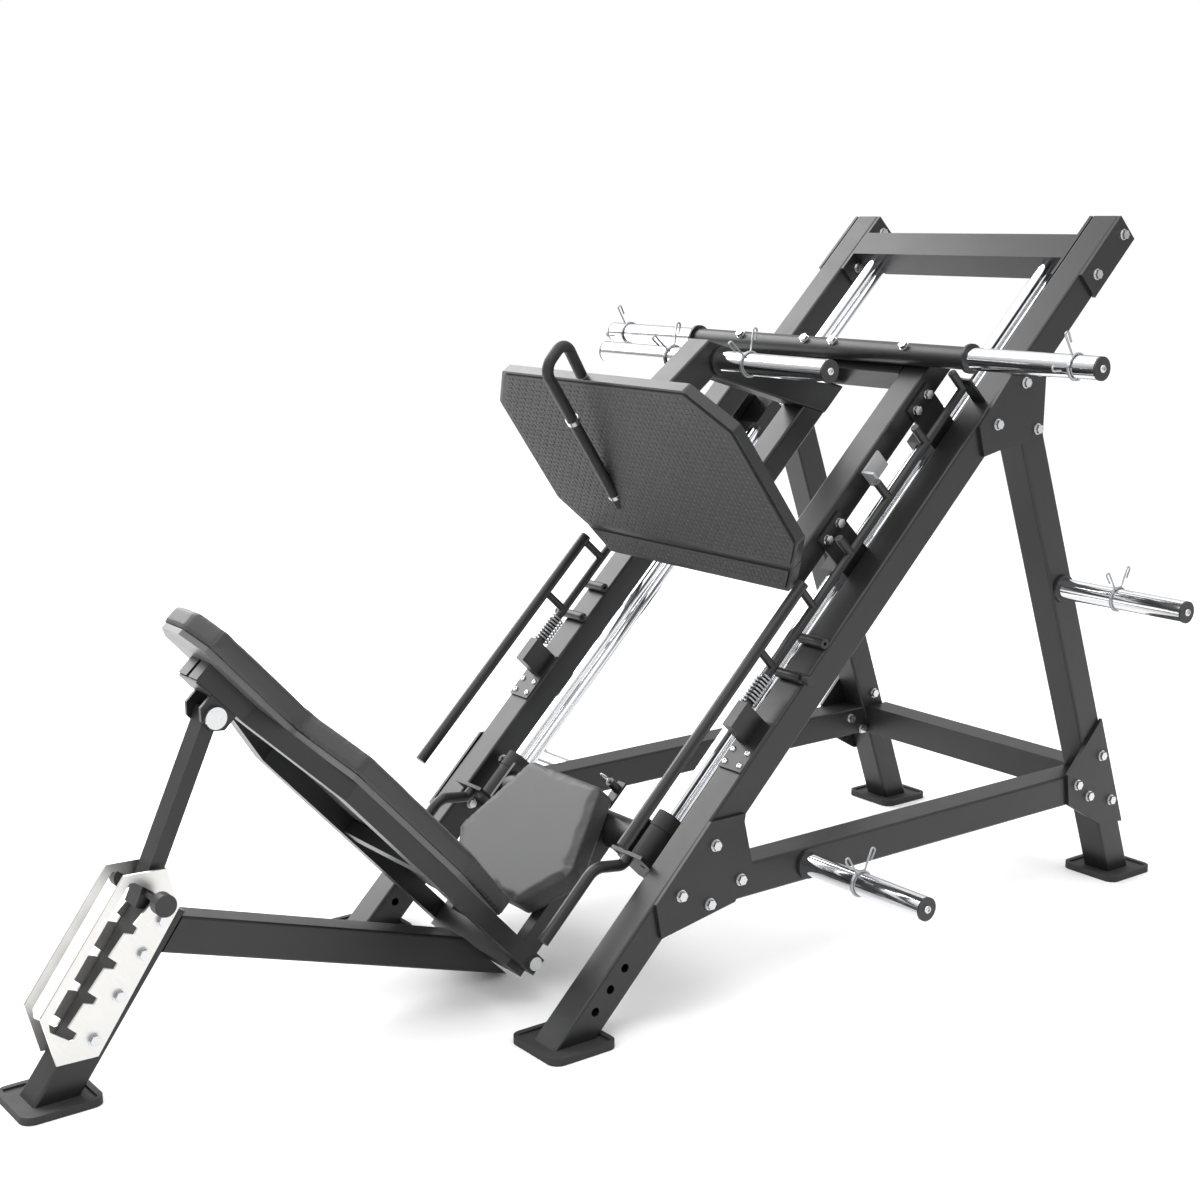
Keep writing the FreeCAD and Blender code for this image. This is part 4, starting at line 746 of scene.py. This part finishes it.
class HackSquatColours(bpy.types.PropertyGroup):
    """Colours of the finishes, dark and light ends of each one's variation."""
    coat_dark: shade("Coat, dark", "Powder coat, darker end", "19191a")
    coat_light: shade("Coat, light", "Powder coat, lighter end", "212122")
    chrome: shade("Chrome", "Chromium plate", "e6e7ea")
    zinc: shade("Zinc", "Plated bolts", "c9cacc")
    wire: shade("Spring wire", "Springs and wire collars", "a3a5a8")
    # Stud colours sit paler than the tread's: a painted highlight on the raised studs, not a different rubber.
    stud_dark: shade("Studs, dark", "Stud tops, darker end", "363636")
    stud_light: shade("Studs, light", "Stud tops, lighter end", "4a4a4a")
    steel_dark: shade("Stainless, dark", "Brushed streaks", "c4c3c0")
    steel_light: shade("Stainless, light", "Brushed ground", "e0dfdc")
    vinyl_dark: shade("Vinyl, dark", "Upholstery, darker end", "262627")
    vinyl_light: shade("Vinyl, light", "Upholstery, lighter end", "303031")
    tread_dark: shade("Tread, dark", "Tread rubber, darker end", "262626")
    tread_light: shade("Tread, light", "Tread rubber, lighter end", "353535")
    rubber_dark: shade("Rubber, dark", "Rubber, darker end", "191919")
    rubber_light: shade("Rubber, light", "Rubber, lighter end", "232323")
    nylon_dark: shade("Nylon, dark", "Nylon, darker end", "1b1b1b")
    nylon_light: shade("Nylon, light", "Nylon, lighter end", "242424")
    foam_dark: shade("Foam, dark", "Foam, darker end", "111111")
    foam_light: shade("Foam, light", "Foam, lighter end", "1a1a1a")
    board_dark: shade("Board, dark", "Board, darker end", "4c4c4d")
    board_light: shade("Board, light", "Board, lighter end", "5a5a5b")
    enamel_dark: shade("Enamel, dark", "Enamel, darker end", "9b9c9e")
    enamel_light: shade("Enamel, light", "Enamel, lighter end", "acadaf")
    thread_dark: shade("Thread, dark", "Thread, darker end", "121212")
    thread_light: shade("Thread, light", "Thread, lighter end", "1e1e1e")


class HackSquatSizes(bpy.types.PropertyGroup):
    """Sizes of the upholstery and the small hardware."""
    voxel: length("Remesh size", "Grain of the pads before stuffing", 0.006)
    swell: length("Swell", "Furthest that stuffing pushes a pad's cover", 0.006)
    seam_depth: length("Seam depth", "How far seams pull the cover in", 0.0007)
    seam_rise: length("Seam rise", "Base seam above the pad's board", 0.005)
    stitch_pitch: length("Stitch pitch", "From one stitch to the next", 0.0075)
    stitch_length: length("Stitch length", "Length of one stitch", 0.0055)
    thread_width: length("Thread width", "Thickness of the thread", 0.0013)
    stud_pitch: length("Stud pitch", "From one tread stud to the next", 0.014)
    stud_length: length("Stud length", "Length of an oval tread stud", 0.0115)
    stud_width: length("Stud width", "Width of an oval tread stud", 0.0046)
    stud_height: length("Stud height", "Full thickness of the stud's lens", 0.0032)
    coil_radius: length("Spring radius", "Centre line of the safety springs", 0.0165)
    spring_wire: length("Spring wire", "Radius of the springs' wire", 0.0025)
    spring_length: length("Spring length", "End to end of a safety spring", 0.0686)
    spring_turns: bpy.props.FloatProperty(name="Spring turns", description="Coils in a safety spring",
                                          default=8.0, min=2.0, max=20.0)
    collar_wire: length("Collar wire", "Radius of the wire collars' wire", 0.0023)
    cap_screw: length("Cap screw", "Head of the screw in each horn's cap", 0.017)
    mount_screw: length("Mount screw", "Head of the lever mounts' screws", 0.014)
    peg_plug: length("Peg plug", "Plug in the end of each catch peg", 0.0196)


# ------------------------------------------------------------------ operators

class HACKSQUAT_OT_mix_finishes(bpy.types.Operator):
    """Make the machine's materials and coat its steel, chrome, rubber and plastic nodes"""
    bl_idname = "hacksquat.mix_finishes"
    bl_label = "Mix and apply finishes"

    def execute(self, context):
        tones = context.scene.hacksquat_colours
        MATERIALS.update(
            powder=powder_coat(tones.coat_dark, tones.coat_light),
            chrome=chrome_plate(tones.chrome),
            zinc=zinc_plate(tones.zinc),
            stainless=brushed_stainless(tones.steel_dark, tones.steel_light),
            rubber=moulded_rubber(tones.rubber_dark, tones.rubber_light),
            nylon=moulded_nylon(tones.nylon_dark, tones.nylon_light),
            foam=grip_foam(tones.foam_dark, tones.foam_light),
            vinyl=vinyl_cover(tones.vinyl_dark, tones.vinyl_light),
            tread=tread_rubber(tones.tread_dark, tones.tread_light),
            board=laminated_board(tones.board_dark, tones.board_light),
            enamel=grey_enamel(tones.enamel_dark, tones.enamel_light),
            thread=stitch_thread(tones.thread_dark, tones.thread_light),
            wire=spring_wire(tones.wire),
            studs=studs_painted_highlight(tones.stud_dark, tones.stud_light),
        )
        for finish, nodes in FINISHES.items():
            for name in nodes:
                for slot in NODES[name].material_slots:
                    slot.material = MATERIALS[finish]
        return {"FINISHED"}


class HACKSQUAT_OT_upholster_backrest(bpy.types.Operator):
    """Stuff the backrest's vinyl pad, press its seams and sew round its base"""
    bl_idname = "hacksquat.upholster_backrest"
    bl_label = "Upholster the backrest"

    def execute(self, context):
        sizes = context.scene.hacksquat_sizes
        cover, base, top = puffed("backrest_pad", PAD_OUT, sizes.voxel, sizes.swell)
        press_seams(cover, PAD_OUT, PAD_DOWN, PAD_HEAD, corner_rays(BACK_PLAN), base + sizes.seam_rise,
                    sizes.seam_depth)
        sew(cover, "backrest_stitches", PAD_OUT, PAD_DOWN, PAD_HEAD, BACK_PLAN,
            base + sizes.seam_rise + STITCH_LIFT, "backrest", sizes)
        cushion = show(cover, "backrest_cushion", "backrest", MATERIALS["vinyl"])
        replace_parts(cushion, "backrest_pad")
        return {"FINISHED"}


class HACKSQUAT_OT_upholster_seat(bpy.types.Operator):
    """Stuff the seat's vinyl pad, press its seams and sew round its base"""
    bl_idname = "hacksquat.upholster_seat"
    bl_label = "Upholster the seat"

    def execute(self, context):
        sizes = context.scene.hacksquat_sizes
        cover, base, top = puffed("seat_pad", OFF_RAIL, sizes.voxel, sizes.swell)
        press_seams(cover, OFF_RAIL, UP_RAIL, RAIL_FOOT, corner_rays(SEAT_PLAN), base + sizes.seam_rise,
                    sizes.seam_depth)
        sew(cover, "seat_stitches", OFF_RAIL, UP_RAIL, RAIL_FOOT, SEAT_PLAN,
            base + sizes.seam_rise + STITCH_LIFT, "frame", sizes)
        cushion = show(cover, "seat_cushion", "frame", MATERIALS["vinyl"])
        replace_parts(cushion, "seat_pad")
        return {"FINISHED"}


class HACKSQUAT_OT_mould_tread(bpy.types.Operator):
    """Raise the oval studs of the foot plate's rubber tread, turned crosswise by turns"""
    bl_idname = "hacksquat.mould_tread"
    bl_label = "Mould the tread studs"

    def execute(self, context):
        sizes = context.scene.hacksquat_sizes
        spots = []
        pitch = sizes.stud_pitch * 1000
        half_width, margin = 430, 16
        for plan, up, back in ((TREAD_PLAN, PLATE_UP, PLATE_BACK), (LIP_PLAN, LIP_UP, LIP_BACK)):
            rows = range(int(plan[0][0] // pitch) - 1, int(plan[-1][0] // pitch) + 2)
            columns = range(-int(half_width // pitch), int(half_width // pitch) + 1)
            for row in rows:
                for column in columns:
                    height, across = (row + 0.5) * pitch, column * pitch
                    if not inside(plan, height, across, margin):
                        continue
                    place = CREASE + up * (height / 1000) + ACROSS * (across / 1000)
                    along = up if (row + column) % 2 else ACROSS
                    spots.append((place, facing(-back, along)))
        tree = lens_tree("tread_studs", ("Stud Length", "Stud Width", "Stud Height"), 8, MATERIALS["studs"])
        mesh = grow(seed_points("tread_studs", spots), tree,
                    {"Stud Length": sizes.stud_length, "Stud Width": sizes.stud_width,
                     "Stud Height": sizes.stud_height}, "tread_studs")
        show(mesh, "tread_studs", "sled")
        return {"FINISHED"}


class HACKSQUAT_OT_wind_springs(bpy.types.Operator):
    """Wind the compression springs on the two safety lever shafts"""
    bl_idname = "hacksquat.wind_springs"
    bl_label = "Wind the safety springs"

    def execute(self, context):
        sizes = context.scene.hacksquat_sizes
        spots = [(on_rail(SPRING_STATION, side * LEVER_ACROSS, LEVER_HEIGHT), facing(UP_RAIL, OFF_RAIL))
                 for side in SIDES.values()]
        mesh = grow(seed_points("lever_springs", spots), spring_tree(MATERIALS["wire"]),
                    {"Coil Radius": sizes.coil_radius, "Wire Radius": sizes.spring_wire,
                     "Spring Length": sizes.spring_length, "Turns": sizes.spring_turns}, "lever_springs")
        springs = show(mesh, "lever_springs", "frame")
        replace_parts(springs, "safety_springs")
        return {"FINISHED"}


class HACKSQUAT_OT_bend_collars(bpy.types.Operator):
    """Bend the wire collars that hold the plates on the sled's and the storage horns"""
    bl_idname = "hacksquat.bend_collars"
    bl_label = "Bend the wire collars"

    def execute(self, context):
        sizes = context.scene.hacksquat_sizes
        slack = 0.0003
        ring = HORN_RADIUS + sizes.collar_wire + slack
        points = collar_path(ring)
        line = bpy.data.meshes.new("collar_line")
        line.from_pydata([tuple(p) for p in points], [(i, i + 1) for i in range(len(points) - 1)], [])
        path = hold(line, "collar_line")
        tree = collar_tree(path, MATERIALS["wire"])
        for name, body, node, owner in (("sled_wire_collars", "sled", "sled_collars", "sled"),
                                        ("storage_wire_collars", "frame", "storage_collars", "storage")):
            spots = []
            for kind, side, place in horn_points(owner, COLLARS):
                outward = ACROSS * side
                grips = Matrix.Rotation(-COLLAR_LEANS[kind], 3, ACROSS) @ UP
                spots.append((place, facing(outward, grips.cross(outward))))
            mesh = grow(seed_points(name, spots), tree, {"Wire Radius": sizes.collar_wire}, name)
            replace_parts(show(mesh, name, body), node)
        bpy.data.objects.remove(path, do_unlink=True)
        return {"FINISHED"}


class HACKSQUAT_OT_fit_screws(bpy.types.Operator):
    """Fit the screws in the horn caps and the lever mounts, and the plugs in the catch pegs"""
    bl_idname = "hacksquat.fit_screws"
    bl_label = "Fit the screws and plugs"

    def execute(self, context):
        sizes = context.scene.hacksquat_sizes
        for name, body, owner in (("sled_cap_screws", "sled", "sled"), ("storage_cap_screws", "frame", "storage")):
            spots = [(place, facing(ACROSS * side, UP)) for kind, side, place in horn_points(owner, TIPS)]
            mesh = scattered(button_screw(name), "Head Size", sizes.cap_screw, spots, name, MATERIALS["zinc"])
            show(mesh, name, body, smooth=False)
        spots = []
        for side in SIDES.values():
            for station in MOUNT_SCREW_STATIONS:
                for across in MOUNT_SCREWS_ACROSS:
                    spots.append((on_rail(station, side * across, MOUNT_BASE), facing(OFF_RAIL, UP_RAIL)))
        mesh = scattered(button_screw("mount_screws"), "Head Size", sizes.mount_screw, spots,
                         "mount_screws", MATERIALS["zinc"])
        show(mesh, "mount_screws", "frame", smooth=False)
        for side_name, side in SIDES.items():
            name = f"peg_plugs_{side_name}"
            spots = [(on_rail(station, side * LEVER_ACROSS, PEG_TOP), facing(OFF_RAIL, UP_RAIL))
                     for station in PEG_STATIONS]
            mesh = scattered(peg_plug(name), "Plug Size", sizes.peg_plug, spots, name, MATERIALS["nylon"])
            show(mesh, name, f"safety_{side_name}", smooth=False)
        return {"FINISHED"}


class HACKSQUAT_OT_light_stage(bpy.types.Operator):
    """Lay the pale floor, hang the soft lights and set the camera"""
    bl_idname = "hacksquat.light_stage"
    bl_label = "Light the stage"

    def execute(self, context):
        scene = context.scene
        ground = bpy.data.meshes.new("pale_floor")
        half = 60.0
        ground.from_pydata([(-half, -half, 0), (half, -half, 0), (half, half, 0), (-half, half, 0)], [],
                           [(0, 1, 2, 3)])
        floor = hold(ground, "pale_floor")
        paint, tree = new_material("white_studio_floor")
        surface(tree, **{"Base Color": linear("f7f7f7"), "Roughness": 0.6, "Specular IOR Level": 0.2})
        ground.materials.append(paint)

        world = bpy.data.worlds.new("soft_studio")
        world.use_nodes = True
        tree = world.node_tree
        tree.nodes.clear()
        where = add(tree, "ShaderNodeTexCoord").outputs["Generated"]
        split = add(tree, "ShaderNodeSeparateXYZ", None, {0: where})
        ramp = add(tree, "ShaderNodeValToRGB", None, {0: split.outputs["Z"]})
        ramp.color_ramp.elements[0].position = 0.0
        ramp.color_ramp.elements[0].color = (0.2, 0.2, 0.2, 1)
        ramp.color_ramp.elements[1].position = 0.8
        ramp.color_ramp.elements[1].color = (1.0, 1.0, 1.0, 1)
        soft = add(tree, "ShaderNodeBackground", {"Strength": 1.4}, {"Color": ramp.outputs["Color"]})
        plain = add(tree, "ShaderNodeBackground", {"Color": (1, 1, 1, 1), "Strength": 1.0})
        seen = add(tree, "ShaderNodeLightPath")
        mixed = add(tree, "ShaderNodeMixShader", None,
                    {0: seen.outputs["Is Camera Ray"], 1: soft.outputs[0], 2: plain.outputs[0]})
        add(tree, "ShaderNodeOutputWorld", None, {"Surface": mixed.outputs[0]})
        scene.world = world

        for name, place, aim, size, power in (
                ("overhead_softbox", (-0.6, -0.4, 4.6), (0.1, 0.0, 0.4), 4.5, 90),
                ("front_softbox", (-4.6, -1.4, 3.2), (0.0, 0.0, 0.8), 3.0, 60),
                ("back_softbox", (-0.6, 5.2, 3.9), (0.2, 0.0, 0.8), 5.0, 420)):
            lamp = bpy.data.lights.new(name, "AREA")
            lamp.shape = "SQUARE"
            lamp.size = size
            lamp.energy = power
            light = bpy.data.objects.new(name, lamp)
            scene.collection.objects.link(light)
            light.location = place
            light.rotation_euler = (Vector(aim) - Vector(place)).to_track_quat("-Z", "Y").to_euler()

        lens = bpy.data.cameras.new("studio_camera")
        lens.sensor_width = 36
        lens.lens = 55.81
        camera = bpy.data.objects.new("studio_camera", lens)
        scene.collection.objects.link(camera)
        heading, pitch = math.radians(52.824), math.radians(-11.514)
        aim = Vector((math.cos(pitch) * math.cos(heading), math.cos(pitch) * math.sin(heading), math.sin(pitch)))
        camera.location = (-2.4541, -3.2146, 1.6249)
        camera.rotation_euler = aim.to_track_quat("-Z", "Y").to_euler()
        scene.camera = camera
        scene.view_settings.view_transform = "Standard"
        return {"FINISHED"}


STEPS = (HACKSQUAT_OT_mix_finishes, HACKSQUAT_OT_upholster_backrest, HACKSQUAT_OT_upholster_seat,
         HACKSQUAT_OT_mould_tread, HACKSQUAT_OT_wind_springs, HACKSQUAT_OT_bend_collars,
         HACKSQUAT_OT_fit_screws, HACKSQUAT_OT_light_stage)


class HACKSQUAT_PT_workshop(bpy.types.Panel):
    """The machine's steps and settings"""
    bl_idname = "HACKSQUAT_PT_workshop"
    bl_label = "Hack Squat"
    bl_space_type = "VIEW_3D"
    bl_region_type = "UI"
    bl_category = "Hack Squat"

    def draw(self, context):
        for step in STEPS:
            self.layout.operator(step.bl_idname)
        for group in (context.scene.hacksquat_sizes, context.scene.hacksquat_colours):
            box = self.layout.box()
            for name in group.__annotations__:
                box.prop(group, name)


CLASSES = (HackSquatColours, HackSquatSizes) + STEPS + (HACKSQUAT_PT_workshop,)


def register():
    for item in CLASSES:
        bpy.utils.register_class(item)
    bpy.types.Scene.hacksquat_colours = bpy.props.PointerProperty(type=HackSquatColours)
    bpy.types.Scene.hacksquat_sizes = bpy.props.PointerProperty(type=HackSquatSizes)


def unregister():
    del bpy.types.Scene.hacksquat_sizes
    del bpy.types.Scene.hacksquat_colours
    for item in reversed(CLASSES):
        bpy.utils.unregister_class(item)


def main():
    register()
    bpy.ops.hacksquat.mix_finishes()
    bpy.ops.hacksquat.upholster_backrest()
    bpy.ops.hacksquat.upholster_seat()
    bpy.ops.hacksquat.mould_tread()
    bpy.ops.hacksquat.wind_springs()
    bpy.ops.hacksquat.bend_collars()
    bpy.ops.hacksquat.fit_screws()
    bpy.ops.hacksquat.light_stage()


if __name__ == "__main__":
    main()
